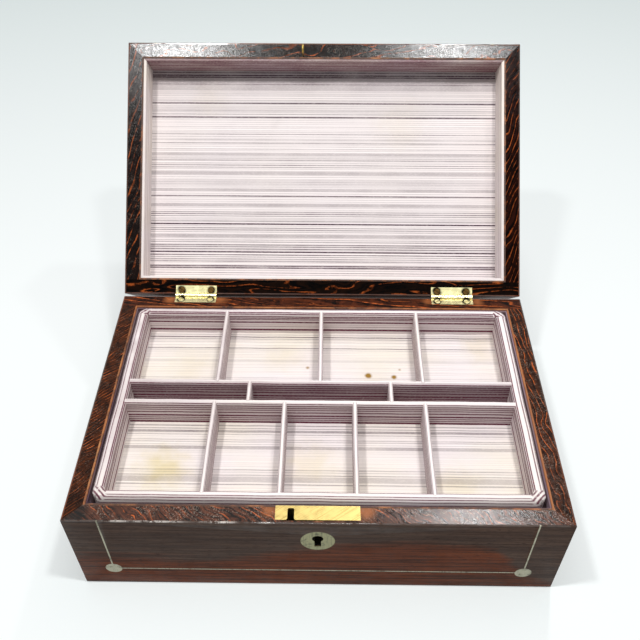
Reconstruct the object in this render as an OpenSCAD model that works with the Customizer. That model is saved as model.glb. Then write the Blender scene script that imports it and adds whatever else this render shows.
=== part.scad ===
// Hinged wooden box with a lift-out tray of compartments.
// X runs along the width, -Y is the front, +Z is up.
// The origin is the middle of the underside.
// The lid is drawn shut and then turned back about its hinge pins.

/* [Box] */
// Width of the box
box_w = 300; // [250:1:360]
// Depth of the box, front to back
box_d = 193; // [160:1:240]
// Height of the body up to its rim
body_h = 74; // [66:1:110]
// Height of the lid from its rim to its top
lid_h = 35; // [31:1:50]
// Angle the lid is turned back from shut, in degrees
lid_open = 136; // [0:1:136]
// Gap between the two rims when the lid is shut
shut_gap = 0.3; // [0.2:0.1:0.6]

/* [Boards] */
// Thickness of the carcase boards
board_t = 11; // [10:0.5:14]
// Depth of the lap joint at each carcase corner
corner_lap = 5; // [3:0.5:8]
// Thickness of the base board
base_t = 6.5; // [4:0.5:10]
// Thickness of the board that closes the lid's top
lid_top_t = 10; // [6:0.5:12]
// Thickness of the veneer
veneer_t = 1; // [0.8:0.1:1.5]
// Thickness of the dark facing let into each rim
rim_t = 2; // [1.5:0.1:3]
// Width of bare board left inside the rim facing
raw_edge = 1.2; // [0.8:0.1:2]
// Thickness of the paper under the base
base_cover_t = 0.5; // [0.3:0.1:1]

/* [Linings] */
// Thickness of the lining boards that the tray rests on
ledge_t = 7; // [6:0.5:9]
// Thickness of the papered card on the walls above the ledge
card_t = 0.8; // [0.5:0.1:1.2]
// Distance of the card's top below the rim
card_drop = 1; // [0.5:0.5:3]
// Thickness of the paper on the floor of the well
well_paper_t = 0.5; // [0.3:0.1:1]
// Thickness of the lining strips round the lid's recess
lid_strip_t = 2; // [1.5:0.1:2.5]
// Distance of those strips below the lid's rim
lid_strip_drop = 0.6; // [0.3:0.1:2]
// Thickness of the papered panel in the lid
lid_panel_t = 1.2; // [0.8:0.1:2]

/* [Tray] */
// Height of the tray
tray_h = 24; // [18:0.5:30]
// How far the tray stands above the body's rim
tray_proud = 3; // [0:0.5:6]
// Gap between the tray's ends and the body
tray_side_gap = 4; // [3.5:0.5:5]
// Gap between the tray and the body at front and back
tray_end_gap = 3; // [3:0.5:4.5]
// Thickness of the tray's outer walls
tray_wall_t = 5.5; // [4:0.5:7]
// Thickness of the tray's floor
tray_floor_t = 3; // [2:0.5:5]
// Thickness of the two long dividers
long_divider_t = 4; // [3:0.5:5]
// Thickness of the short dividers
short_divider_t = 3; // [2:0.5:4]
// Width of the end compartments in the front and rear rows
end_cell_w = 57.5; // [40:0.5:60]
// Width of the end compartments in the narrow row
narrow_end_w = 79.5; // [60:0.5:85]
// Depth of the rear row of compartments
rear_cell_d = 64; // [45:0.5:70]
// Depth of the narrow row of compartments
narrow_cell_d = 13.5; // [10:0.5:25]

/* [Hinges] */
// Distance of the left hinge's middle from the box's left side
left_hinge_in = 54.7; // [40:0.1:70]
// Distance of the right hinge's middle from the box's right side
right_hinge_in = 51.6; // [40:0.1:70]
// Length of a hinge along its pin
hinge_l = 31; // [24:1:36]
// Width of a leaf from the back of the box
leaf_w = 6.5; // [5.5:0.1:8]
// Thickness of a leaf
leaf_t = 1.2; // [1:0.1:1.4]
// Distance of the hinge pin behind the back of the box
pin_set = 1; // [0.5:0.1:1.5]
// Radius of the hinge knuckle
knuckle_r = 1.9; // [1.7:0.1:2.2]
// Radius of the hinge pin
pin_r = 0.9; // [0.7:0.05:1]
// Running clearance round the hinge pin
pin_clear = 0.05; // [0.02:0.01:0.08]
// Distance of each screw from the middle of its hinge
screw_off = 11; // [8:0.5:12]
// Distance of the screws from the back of the box
screw_in = 3.3; // [3.2:0.1:4]
// Radius of a screw's head
screw_head_r = 2.2; // [1.8:0.1:2.4]
// Radius of a screw's shank
screw_r = 0.9; // [0.7:0.1:1]
// Length of a screw
screw_l = 9; // [6:0.5:12]

/* [Lock] */
// Width of the brass plate in the front rim
plate_w = 50; // [46:1:60]
// Depth of that plate, front to back
plate_d = 9.5; // [9:0.1:10]
// Thickness of the lock's plates
plate_t = 1.6; // [1.2:0.1:2]
// Height of the plate on the inner face of the front board
back_plate_h = 30; // [28:1:34]
// Width of the lock's case
case_w = 41; // [38:0.5:44]
// Height of the lock's case
case_h = 25; // [24:0.5:28]
// Depth of the lock's case
case_d = 8.2; // [8:0.1:8.6]
// Thickness of the lock case's walls
case_t = 0.8; // [0.6:0.1:1]
// Distance of the staple's slot left of the middle
slot_x = 15.8; // [15:0.1:16.5]
// Width of the staple's slot
slot_w = 4; // [3:0.1:4.5]
// Length of the staple's slot, from the plate's front edge
slot_l = 7.8; // [7.5:0.1:8]
// Diameter of the staple's wire
staple_wire = 1.5; // [1.2:0.1:1.6]
// Distance between the staple's legs, middle to middle
staple_span = 5.4; // [5.3:0.1:5.5]
// Distance of the staple's middle from the plate's front edge
staple_in = 4.2; // [4.1:0.05:4.3]
// Length of the staple's straight legs below the lid's rim
staple_drop = 6.3; // [6.2:0.1:6.8]
// Length of the staple's legs inside the wood
staple_root = 7; // [5:0.5:9]
// Travel of the lock bolt
bolt_throw = 6; // [5.5:0.1:6.3]
// Length of the lock bolt's body
bolt_l = 20; // [18:0.5:22]
// Length of the tongue on the bolt's end
tongue_l = 8; // [7.5:0.5:9]
// Height of the tongue
tongue_h = 3.4; // [3:0.1:3.5]
// Height of the bolt's body
bolt_h = 7; // [6:0.5:8]
// Clearance round the moving bolt
bolt_clear = 0.3; // [0.2:0.05:0.4]
// Distance of the keyhole's round part below the rim
keyhole_down = 17; // [16:0.5:18]
// Radius of the keyhole's round part
keyhole_r = 3.4; // [3:0.1:3.6]
// Width of the keyhole's slot
keyhole_w = 4; // [3:0.1:4.6]
// Drop of the slot's foot below the middle of the round part
keyhole_drop = 9; // [8:0.5:9.5]
// Radius of the pin that the key turns on
drill_pin_r = 1.1; // [0.8:0.1:1.3]

/* [Inlay] */
// Radius of the disc round the keyhole
escutcheon_r = 10.3; // [10:0.1:12]
// Distance of the disc's middle below the rim
escutcheon_down = 19.4; // [18:0.1:21]
// Radius of the roundels
roundel_r = 5.2; // [4:0.1:7]
// Distance of the roundels from the sides of the box
roundel_in = 21.2; // [15:0.1:30]
// Distance of the roundels from the underside, and from the top of the lid
roundel_up = 18.5; // [12:0.1:19]
// Width of the stringing lines
string_w = 0.9; // [0.6:0.1:1.5]
// Depth of the inlay
inlay_t = 0.6; // [0.4:0.05:0.7]

/* [Hidden] */
$fn = 64;
// Small overshoot of every cut past the face it opens
over = 0.5;
// Clearance round a screw, nail or leg driven into wood
driven_clear = 0.02;
// Hairline between neighbouring boards of one lining
lining_seam = 0.1;

// Half sizes of the carcase, from outside the veneer to the inner faces
out_x = box_w / 2;
out_y = box_d / 2;
case_x = out_x - veneer_t;
case_y = out_y - veneer_t;
in_x = case_x - board_t;
in_y = case_y - board_t;
face_x = in_x + raw_edge;
face_y = in_y + raw_edge;

// Heights of the body
base_top = base_cover_t + base_t;
lid_z = body_h + shut_gap;
lid_top = lid_z + lid_h;
lid_wall_h = lid_h - veneer_t - lid_top_t;
lid_recess_z = lid_z + lid_wall_h - lid_panel_t;

// The tray and the ledge that it rests on
tray_x = in_x - tray_side_gap;
tray_y = in_y - tray_end_gap;
ledge_z = body_h + tray_proud - tray_h;
cell_x = tray_x - tray_wall_t;
cell_y = tray_y - tray_wall_t;
tray_floor_z = ledge_z + tray_floor_t;
tray_top = ledge_z + tray_h;
rear_divider_y = cell_y - rear_cell_d - long_divider_t / 2;
front_divider_y = rear_divider_y - long_divider_t - narrow_cell_d;

// Hinges
hinge_xs = [-out_x + left_hinge_in, out_x - right_hinge_in];
hinge_y = out_y + pin_set;
hinge_z = body_h + shut_gap / 2;
knuckle_gap = 0.15;
knuckle_room = 0.2;
knuckle_l = hinge_l / 3;
screw_y = out_y - screw_in;
// Width and depth of the slot in a screw's head, and how far it is turned
screw_slot = 0.6;
screw_turn = 35;
// Depth of a screw's head below the face of its leaf
head_sink = 0.05;
screw_head_h = leaf_t - 2 * head_sink;

// Lock: front and inner edges of its plate, then its case and parts
plate_back = -in_y;
plate_front = plate_back - plate_d;
back_plate_front = plate_back - plate_t;
case_front = back_plate_front - case_d;
under_plate = body_h - plate_t;
case_bottom = under_plate - case_h;
keyhole_z = body_h - keyhole_down;
escutcheon_z = body_h - escutcheon_down;
mortise_room = 0.3;
slot_round = 1;
slot_flare = 0.9;
staple_y = plate_front + staple_in;
bolt_top = under_plate - bolt_clear;
bolt_back = back_plate_front - bolt_clear;
tongue_t = staple_span - staple_wire - 2 * bolt_clear;
tongue_back = 1.3;
tongue_end = -slot_x + slot_w / 2 + tongue_back;
bolt_left = tongue_end + tongue_l;
bolt_front = staple_y - tongue_t / 2;
stump_r = 1.2;
stump_in = 5;
stump_x = bolt_left + bolt_l - stump_in - bolt_throw / 2;
nail_r = 0.7;
nail_l = 5;
// Notch that the key pushes in the bolt's lower edge
notch_in = 2;
notch_w = 4;
notch_h = 2;
// Leaf spring under the bolt: its thickness, width, foot, reach past the foot and slope
spring_t = 0.6;
spring_w = 3;
spring_foot = 6;
spring_reach = 4;
spring_rise = 2;

// A bar along X whose section is given in Y and Z
module along_x(length) {
    rotate([90, 0, 90]) linear_extrude(height = length, center = true) children();
}

// A bar along Y whose section is given in X and Z
module along_y(length) {
    rotate([90, 0, 0]) linear_extrude(height = length, center = true) children();
}

// A block from its lowest corner to its highest
module block(low, high) {
    translate(low) cube(high - low);
}

// Turns what was drawn on the shut lid to where the open lid has it
module opened() {
    translate([0, hinge_y, hinge_z]) rotate([-lid_open, 0, 0])
        translate([0, -hinge_y, -hinge_z]) children();
}

// Draws a part of the body upside down as the same part of the lid
module on_lid() {
    translate([0, 0, body_h + lid_z]) mirror([0, 0, 1]) children();
}

// Draws the front part at the back
module at_back() {
    mirror([0, 1, 0]) children();
}

// Draws the left part at the right
module at_right() {
    mirror([1, 0, 0]) children();
}

// Front wall of the carcase, lapped at its ends, with a bare inner edge
module long_wall(low_z) {
    wall_top = body_h - rim_t;
    difference() {
        block([-case_x, -case_y, low_z], [case_x, -in_y, wall_top]);
        for (side = [-1, 1])
            translate([side * case_x, -in_y, 0])
                block([-board_t, -corner_lap, low_z - over], [board_t, over, wall_top + over]);
    }
    block([-in_x, -face_y, wall_top - over], [in_x, -in_y, body_h]);
}

// Left wall of the carcase, between the long walls
module short_wall(low_z) {
    wall_top = body_h - rim_t;
    block([-case_x, -in_y - corner_lap, low_z], [-in_x, in_y + corner_lap, wall_top]);
    block([-face_x, -face_y, wall_top - over], [-in_x, face_y, body_h]);
}

// Facing of the front rim, mitred at both ends
module long_facing() {
    translate([0, 0, body_h - rim_t]) linear_extrude(height = rim_t)
        polygon([[-case_x, -case_y], [case_x, -case_y], [face_x, -face_y], [-face_x, -face_y]]);
}

// Facing of the back rim, which runs the full width
module back_facing() {
    translate([0, 0, body_h - rim_t]) linear_extrude(height = rim_t)
        polygon([[-case_x, face_y], [case_x, face_y], [case_x, case_y], [-case_x, case_y]]);
}

// Facing of the left rim, mitred at the front and butted at the back
module short_facing() {
    translate([0, 0, body_h - rim_t]) linear_extrude(height = rim_t)
        polygon([[-case_x, -case_y], [-face_x, -face_y], [-face_x, face_y], [-case_x, face_y]]);
}

// Room that the knuckles need in the back edges of body and lid
module knuckle_cut() {
    for (x = hinge_xs)
        translate([x, hinge_y, hinge_z]) rotate([0, 90, 0])
            cylinder(h = hinge_l + 2 * knuckle_gap, r = knuckle_r + knuckle_room, center = true);
}

// Room for the leaves in the rims
module leaf_cut() {
    for (x = hinge_xs)
        block([x - hinge_l / 2, out_y - leaf_w, body_h - leaf_t], [x + hinge_l / 2, out_y + over, body_h + over]);
}

// Holes in the back wall for the hinge screws
module screw_cut() {
    for (x = hinge_xs, side = [-1, 1])
        translate([x + side * screw_off, screw_y, body_h - screw_l - driven_clear])
            cylinder(h = screw_l + over, r = screw_r + driven_clear);
}

// Keyhole through whatever lies in front of the lock
module keyhole_cut() {
    rotate([90, 0, 0]) translate([0, 0, -case_front - case_t - over]) linear_extrude(height = board_t + veneer_t)
        union() {
            translate([0, keyhole_z]) circle(r = keyhole_r);
            translate([-keyhole_w / 2, keyhole_z - keyhole_drop]) square([keyhole_w, keyhole_drop]);
        }
}

// Hole in the front board and rim for the lock
module lock_cut() {
    block([-case_w / 2 - mortise_room, case_front - mortise_room, case_bottom - mortise_room],
        [case_w / 2 + mortise_room, plate_back + over, body_h + over]);
    block([-plate_w / 2, back_plate_front, body_h - back_plate_h], [plate_w / 2, plate_back + over, body_h + over]);
    block([-plate_w / 2, plate_front, under_plate], [plate_w / 2, plate_back + over, body_h + over]);
    for (side = [-1, 1], level = [0.2, 0.8])
        translate([side * nail_x(), back_plate_front + over, nail_z(level)])
            rotate([90, 0, 0]) cylinder(h = nail_l + over, r = nail_r + driven_clear);
}

// Places of the four nails at the corners of the lock's back plate
function nail_x() = (plate_w + case_w) / 4;
function nail_z(level) = body_h - back_plate_h + level * (back_plate_h - plate_t);

// Disc shape of one roundel, standing in the front veneer
module roundel(extra = 0) {
    translate([-out_x + roundel_in, -out_y + inlay_t, roundel_up])
        rotate([90, 0, 0]) cylinder(h = inlay_t + extra, r = roundel_r);
}

// Grooves from roundel to roundel and up to the height given
module string_grooves(top, extra = 0) {
    line_y = -out_y + inlay_t;
    for (side = [-1, 1])
        translate([side * (out_x - roundel_in), 0, 0])
            block([-string_w / 2, line_y - inlay_t - extra, roundel_up], [string_w / 2, line_y, top + extra]);
    block([-out_x + roundel_in, line_y - inlay_t - extra, roundel_up - string_w / 2],
        [out_x - roundel_in, line_y, roundel_up + string_w / 2]);
}

// Lines of stringing in those grooves, broken by the roundels
module stringing_lines(top) {
    difference() {
        string_grooves(top);
        for (side = [0, 1])
            mirror([side, 0, 0]) translate([0, over, 0]) roundel(2 * over);
    }
}

// Places what is drawn on the body's front the other way up on the lid's front
module to_lid_front() {
    translate([0, 0, lid_top]) mirror([0, 0, 1]) children();
}

module base_board() {
    color("#7a5236") block([-case_x, -case_y, base_cover_t], [case_x, case_y, base_top]);
}

module base_cover() {
    color("#3c3a4a") block([-case_x, -case_y, 0], [case_x, case_y, base_cover_t]);
}

module front_board() {
    color("#8a5630") difference() {
        long_wall(base_top);
        lock_cut();
        keyhole_cut();
    }
}

module back_board() {
    color("#8a5630") difference() {
        at_back() long_wall(base_top);
        knuckle_cut();
        screw_cut();
    }
}

module left_board() {
    color("#8a5630") short_wall(base_top);
}

module right_board() {
    color("#8a5630") at_right() short_wall(base_top);
}

module front_veneer() {
    color("#5d3b30") difference() {
        block([-out_x, -out_y, 0], [out_x, -case_y, body_h]);
        string_grooves(body_h, over);
        for (side = [0, 1]) mirror([side, 0, 0]) roundel(over);
        translate([0, -out_y + inlay_t, escutcheon_z]) rotate([90, 0, 0])
            cylinder(h = inlay_t + over, r = escutcheon_r);
        keyhole_cut();
    }
}

module back_veneer() {
    color("#5d3b30") difference() {
        block([-out_x, case_y, 0], [out_x, out_y, body_h]);
        knuckle_cut();
        leaf_cut();
    }
}

module side_veneers() {
    color("#5d3b30") for (side = [0, 1])
        mirror([side, 0, 0]) block([-out_x, -case_y, 0], [-case_x, case_y, body_h]);
}

module front_rim() {
    color("#2b1a14") difference() {
        long_facing();
        lock_cut();
    }
}

module back_rim() {
    color("#2b1a14") difference() {
        back_facing();
        knuckle_cut();
        leaf_cut();
        screw_cut();
    }
}

module left_rim() {
    color("#2b1a14") short_facing();
}

module right_rim() {
    color("#2b1a14") at_right() short_facing();
}

// Four lining boards that stand on the base inside the walls
module tray_ledges() {
    ledge_end = in_y - ledge_t - lining_seam;
    color("#b9a9b4") for (side = [0, 1]) {
        mirror([0, side, 0]) block([-in_x, -in_y, base_top], [in_x, -in_y + ledge_t, ledge_z]);
        mirror([side, 0, 0])
            block([-in_x, -ledge_end, base_top], [-in_x + ledge_t, ledge_end, ledge_z]);
    }
}

// Four papered cards on the walls between the ledge and the rim
module wall_lining() {
    card_end = in_y - card_t - lining_seam;
    color("#6d6072") for (side = [0, 1]) {
        mirror([0, side, 0]) block([-in_x, -in_y, ledge_z], [in_x, -in_y + card_t, body_h - card_drop]);
        mirror([side, 0, 0])
            block([-in_x, -card_end, ledge_z], [-in_x + card_t, card_end, body_h - card_drop]);
    }
}

module well_paper() {
    color("#e4dae2")
        block([-in_x + ledge_t, -in_y + ledge_t, base_top], [in_x - ledge_t, in_y - ledge_t, base_top + well_paper_t]);
}

module front_stringing() {
    color("#9a9a84") stringing_lines(body_h);
}

module front_roundels() {
    color("#8f9488") for (side = [0, 1]) mirror([side, 0, 0]) roundel();
}

module escutcheon() {
    color("#a9ab98") difference() {
        translate([0, -out_y + inlay_t, escutcheon_z]) rotate([90, 0, 0])
            cylinder(h = inlay_t, r = escutcheon_r);
        keyhole_cut();
    }
}

// Slot that the staple drops into, round at its inner corners and flared at the plate's edge
module staple_slot() {
    square_l = slot_l - slot_round;
    translate([-slot_w / 2, -over]) square([slot_w, square_l + over]);
    translate([-slot_w / 2 + slot_round, 0]) square([slot_w - 2 * slot_round, slot_l]);
    for (side = [-1, 1])
        translate([side * (slot_w / 2 - slot_round), square_l]) circle(r = slot_round);
    polygon([[-slot_w / 2 - slot_flare, -over], [slot_w / 2 + slot_flare, -over],
        [slot_w / 2, slot_flare], [-slot_w / 2, slot_flare]]);
}

// Plate in the rim and plate on the board's inner face, with the stud that guides the bolt
module lock_plate() {
    color("#d9bf6a") difference() {
        union() {
            block([-plate_w / 2, plate_front, under_plate], [plate_w / 2, plate_back, body_h]);
            block([-plate_w / 2, back_plate_front, body_h - back_plate_h], [plate_w / 2, plate_back, body_h]);
            translate([stump_x, plate_back - plate_t / 2, bolt_top - bolt_h / 2]) rotate([90, 0, 0])
                cylinder(h = plate_t / 2 + plate_back - plate_t - bolt_front, r = stump_r);
        }
        translate([-slot_x, plate_front, under_plate - over]) linear_extrude(height = plate_t + 2 * over)
            staple_slot();
        translate([0, plate_back + over, keyhole_z]) rotate([90, 0, 0])
            cylinder(h = plate_t + 2 * over, r = drill_pin_r + driven_clear);
        for (side = [-1, 1], level = [0.2, 0.8])
            translate([side * nail_x(), plate_back + over, nail_z(level)]) rotate([90, 0, 0])
                cylinder(h = plate_t + 2 * over, r = nail_r + driven_clear);
    }
}

// Sheet brass box behind the back plate, open to it and to the rim plate
module lock_case() {
    color("#c2a458") difference() {
        block([-case_w / 2, case_front, case_bottom], [case_w / 2, back_plate_front, under_plate]);
        block([-case_w / 2 + case_t, case_front + case_t, case_bottom + case_t],
            [case_w / 2 - case_t, back_plate_front + over, under_plate + over]);
        keyhole_cut();
    }
}

module lock_drill_pin() {
    color("#8d8a80") translate([0, plate_back, keyhole_z]) rotate([90, 0, 0])
        cylinder(h = plate_t + case_d - case_t - bolt_clear, r = drill_pin_r);
}

// Leaf spring that presses up on the bolt from a foot on the case's floor
module lock_spring() {
    right = case_w / 2 - case_t;
    floor_z = case_bottom + case_t;
    tip_z = bolt_top - bolt_h - bolt_clear;
    tip_x = right - spring_foot - spring_reach;
    color("#70706c") translate([0, (bolt_front + bolt_back) / 2, 0]) along_y(spring_w)
        polygon([[right - spring_foot, floor_z], [right, floor_z], [right, tip_z - spring_rise],
            [tip_x, tip_z], [tip_x, tip_z - spring_t],
            [right - spring_t, tip_z - spring_rise - spring_t], [right - spring_t, floor_z + spring_t],
            [right - spring_foot, floor_z + spring_t]]);
}

module lock_nails() {
    color("#b9a05c") for (side = [-1, 1], level = [0.2, 0.8])
        translate([side * nail_x(), plate_back, nail_z(level)]) rotate([90, 0, 0])
            cylinder(h = plate_t + nail_l - over, r = nail_r);
}

// Bolt drawn back, with its tongue just short of the staple's slot
module lock_bolt() {
    bolt_right = bolt_left + bolt_l;
    color("#c9ab5c") difference() {
        union() {
            block([bolt_left, bolt_front, bolt_top - bolt_h], [bolt_right, bolt_back, bolt_top]);
            block([tongue_end, bolt_front, bolt_top - tongue_h],
                [bolt_left + over, bolt_front + tongue_t, bolt_top]);
        }
        translate([0, bolt_back + over, 0]) rotate([90, 0, 0])
            linear_extrude(height = bolt_back - bolt_front + 2 * over) union() {
                for (x = [stump_x, stump_x + bolt_throw])
                    translate([x, bolt_top - bolt_h / 2]) circle(r = stump_r + bolt_clear);
                translate([stump_x, bolt_top - bolt_h / 2 - stump_r - bolt_clear])
                    square([bolt_throw, 2 * (stump_r + bolt_clear)]);
            }
        block([bolt_left + notch_in, bolt_front - over, bolt_top - bolt_h - over],
            [bolt_left + notch_in + notch_w, bolt_back + over, bolt_top - bolt_h + notch_h]);
    }
}

// One leaf lying on the body's rim, with the knuckles named by their thirds
module leaf(thirds) {
    difference() {
        union() {
            block([-hinge_l / 2, out_y - leaf_w, body_h - leaf_t], [hinge_l / 2, hinge_y, body_h]);
            for (third = thirds)
                translate([third * knuckle_l, hinge_y, hinge_z]) rotate([0, 90, 0])
                    cylinder(h = knuckle_l - knuckle_gap, r = knuckle_r, center = true);
        }
        for (third = [-1, 0, 1])
            if (len(search(third, thirds)) == 0)
                translate([third * knuckle_l, hinge_y, hinge_z]) rotate([0, 90, 0])
                    cylinder(h = knuckle_l + knuckle_gap, r = knuckle_r + knuckle_room, center = true);
        translate([0, hinge_y, hinge_z]) rotate([0, 90, 0])
            cylinder(h = hinge_l + 2 * over, r = pin_r + pin_clear, center = true);
        for (side = [-1, 1])
            translate([side * screw_off, screw_y, body_h]) {
                translate([0, 0, -leaf_t - over]) cylinder(h = leaf_t + 2 * over, r = screw_r + driven_clear);
                translate([0, 0, -screw_head_h - head_sink])
                    cylinder(h = screw_head_h, r1 = screw_r + driven_clear, r2 = screw_head_r + driven_clear);
                translate([0, 0, -head_sink]) cylinder(h = over, r = screw_head_r + driven_clear);
            }
    }
}

// Countersunk screws of the leaves on the body's rim
module leaf_screws() {
    for (x = hinge_xs, side = [-1, 1])
        translate([x + side * screw_off, screw_y, body_h - head_sink]) difference() {
            union() {
                translate([0, 0, -screw_head_h]) cylinder(h = screw_head_h, r1 = screw_r, r2 = screw_head_r);
                translate([0, 0, -screw_l + head_sink]) cylinder(h = screw_l - screw_head_h, r = screw_r);
            }
            rotate([0, 0, screw_turn])
                block([-screw_head_r, -screw_slot / 2, -screw_slot], [screw_head_r, screw_slot / 2, over]);
        }
}

module left_hinge_leaf() {
    color("#e3cf7c") translate([hinge_xs[0], 0, 0]) leaf([-1, 1]);
}

module right_hinge_leaf() {
    color("#e3cf7c") translate([hinge_xs[1], 0, 0]) leaf([-1, 1]);
}

module hinge_pins() {
    color("#9a8a52") for (x = hinge_xs)
        translate([x, hinge_y, hinge_z]) rotate([0, 90, 0])
            cylinder(h = hinge_l - knuckle_gap, r = pin_r, center = true);
}

module hinge_screws() {
    color("#5a5236") leaf_screws();
}

module lid_top_board() {
    color("#8a5630") opened()
        block([-case_x, -case_y, lid_top - veneer_t - lid_top_t], [case_x, case_y, lid_top - veneer_t]);
}

module lid_front_board() {
    color("#8a5630") opened() difference() {
        on_lid() long_wall(body_h - lid_wall_h);
        staple_legs(driven_clear);
    }
}

module lid_back_board() {
    color("#8a5630") opened() difference() {
        on_lid() at_back() long_wall(body_h - lid_wall_h);
        knuckle_cut();
        on_lid() screw_cut();
    }
}

module lid_left_board() {
    color("#8a5630") opened() on_lid() short_wall(body_h - lid_wall_h);
}

module lid_right_board() {
    color("#8a5630") opened() on_lid() at_right() short_wall(body_h - lid_wall_h);
}

module lid_top_veneer() {
    color("#5d3b30") opened() block([-out_x, -out_y, lid_top - veneer_t], [out_x, out_y, lid_top]);
}

module lid_front_veneer() {
    color("#5d3b30") opened() difference() {
        block([-out_x, -out_y, lid_z], [out_x, -case_y, lid_top - veneer_t]);
        to_lid_front() string_grooves(lid_h, over);
        for (side = [0, 1]) to_lid_front() mirror([side, 0, 0]) roundel(over);
    }
}

module lid_back_veneer() {
    color("#5d3b30") opened() difference() {
        block([-out_x, case_y, lid_z], [out_x, out_y, lid_top - veneer_t]);
        knuckle_cut();
        on_lid() leaf_cut();
    }
}

module lid_side_veneers() {
    color("#5d3b30") opened() for (side = [0, 1])
        mirror([side, 0, 0]) block([-out_x, -case_y, lid_z], [-case_x, case_y, lid_top - veneer_t]);
}

module lid_front_rim() {
    color("#2b1a14") opened() difference() {
        on_lid() long_facing();
        staple_legs(driven_clear);
    }
}

module lid_back_rim() {
    color("#2b1a14") opened() difference() {
        on_lid() back_facing();
        knuckle_cut();
        on_lid() leaf_cut();
        on_lid() screw_cut();
    }
}

module lid_left_rim() {
    color("#2b1a14") opened() on_lid() short_facing();
}

module lid_right_rim() {
    color("#2b1a14") opened() on_lid() at_right() short_facing();
}

// Papered strips round the recess, mitred where they meet
module lid_lining_strips() {
    strip_x = in_x - lid_strip_t;
    strip_y = in_y - lid_strip_t;
    low = lid_z + lid_strip_drop;
    color("#d8ccd6") opened() translate([0, 0, low]) linear_extrude(height = lid_recess_z - low)
        for (side = [0, 1]) {
            mirror([0, side]) polygon([[-in_x, -in_y], [in_x, -in_y], [strip_x, -strip_y], [-strip_x, -strip_y]]);
            mirror([side, 0]) polygon([[-in_x, -in_y + lining_seam], [-strip_x, -strip_y + lining_seam],
                [-strip_x, strip_y - lining_seam], [-in_x, in_y - lining_seam]]);
        }
}

module lid_panel() {
    color("#e6dce6") opened() block([-in_x, -in_y, lid_recess_z], [in_x, in_y, lid_recess_z + lid_panel_t]);
}

module lid_stringing() {
    color("#9a9a84") opened() to_lid_front() stringing_lines(lid_h);
}

module lid_roundels() {
    color("#8f9488") opened() for (side = [0, 1]) to_lid_front() mirror([side, 0, 0]) roundel();
}

// Straight legs of the staple, from the wood down to its bend
module staple_legs(clear = 0) {
    for (side = [-1, 1])
        translate([-slot_x, staple_y + side * staple_span / 2, lid_z - staple_drop])
            cylinder(h = staple_drop + staple_root + clear, r = staple_wire / 2 + clear);
}

module lock_staple() {
    color("#b8a060") opened() union() {
        staple_legs();
        translate([-slot_x, staple_y, lid_z - staple_drop]) rotate([-90, 0, 90])
            rotate_extrude(angle = 180) translate([staple_span / 2, 0]) circle(d = staple_wire);
    }
}

module left_lid_leaf() {
    color("#e3cf7c") opened() on_lid() translate([hinge_xs[0], 0, 0]) leaf([0]);
}

module right_lid_leaf() {
    color("#e3cf7c") opened() on_lid() translate([hinge_xs[1], 0, 0]) leaf([0]);
}

module lid_hinge_screws() {
    color("#5a5236") opened() on_lid() leaf_screws();
}

module tray_floor() {
    color("#efe6e6") block([-tray_x, -tray_y, ledge_z], [tray_x, tray_y, tray_floor_z]);
}

// Section of a wall or divider of the tray: upright, with a round top
module upright(thickness) {
    translate([-thickness / 2, tray_floor_z])
        square([thickness, tray_h - tray_floor_t - thickness / 2]);
    translate([0, tray_top - thickness / 2]) circle(d = thickness);
}

// Front wall of the tray, mitred at its ends
module tray_long_wall() {
    intersection() {
        translate([0, -tray_y + tray_wall_t / 2, 0]) along_x(2 * tray_x) upright(tray_wall_t);
        translate([0, 0, tray_floor_z - over]) linear_extrude(height = tray_h)
            polygon([[-tray_x, -tray_y], [tray_x, -tray_y], [cell_x, -cell_y], [-cell_x, -cell_y]]);
    }
}

// Left wall of the tray, mitred at its ends
module tray_short_wall() {
    intersection() {
        translate([-tray_x + tray_wall_t / 2, 0, 0]) along_y(2 * tray_y) upright(tray_wall_t);
        translate([0, 0, tray_floor_z - over]) linear_extrude(height = tray_h)
            polygon([[-tray_x, -tray_y], [-cell_x, -cell_y], [-cell_x, cell_y], [-tray_x, tray_y]]);
    }
}

module tray_front_wall() {
    color("#e6dae2") tray_long_wall();
}

module tray_back_wall() {
    color("#e6dae2") at_back() tray_long_wall();
}

module tray_end_walls() {
    color("#e6dae2") for (side = [0, 1]) mirror([side, 0, 0]) tray_short_wall();
}

module tray_long_dividers() {
    color("#e0d4dc") for (y = [rear_divider_y, front_divider_y])
        translate([0, y, 0]) along_x(2 * cell_x) upright(long_divider_t);
}

// Row of short dividers between two faces, at equal steps inside the end compartments
module divider_row(low_y, high_y, end_w, count) {
    first = cell_x - end_w - short_divider_t / 2;
    color("#e0d4dc") for (i = [0 : count - 1])
        translate([-first + i * 2 * first / (count - 1), (low_y + high_y) / 2, 0])
            along_y(high_y - low_y) upright(short_divider_t);
}

module rear_dividers() {
    divider_row(rear_divider_y + long_divider_t / 2, cell_y, end_cell_w, 3);
}

module narrow_dividers() {
    divider_row(front_divider_y + long_divider_t / 2, rear_divider_y - long_divider_t / 2, narrow_end_w, 2);
}

module front_dividers() {
    divider_row(-cell_y, front_divider_y - long_divider_t / 2, end_cell_w, 4);
}

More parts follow.
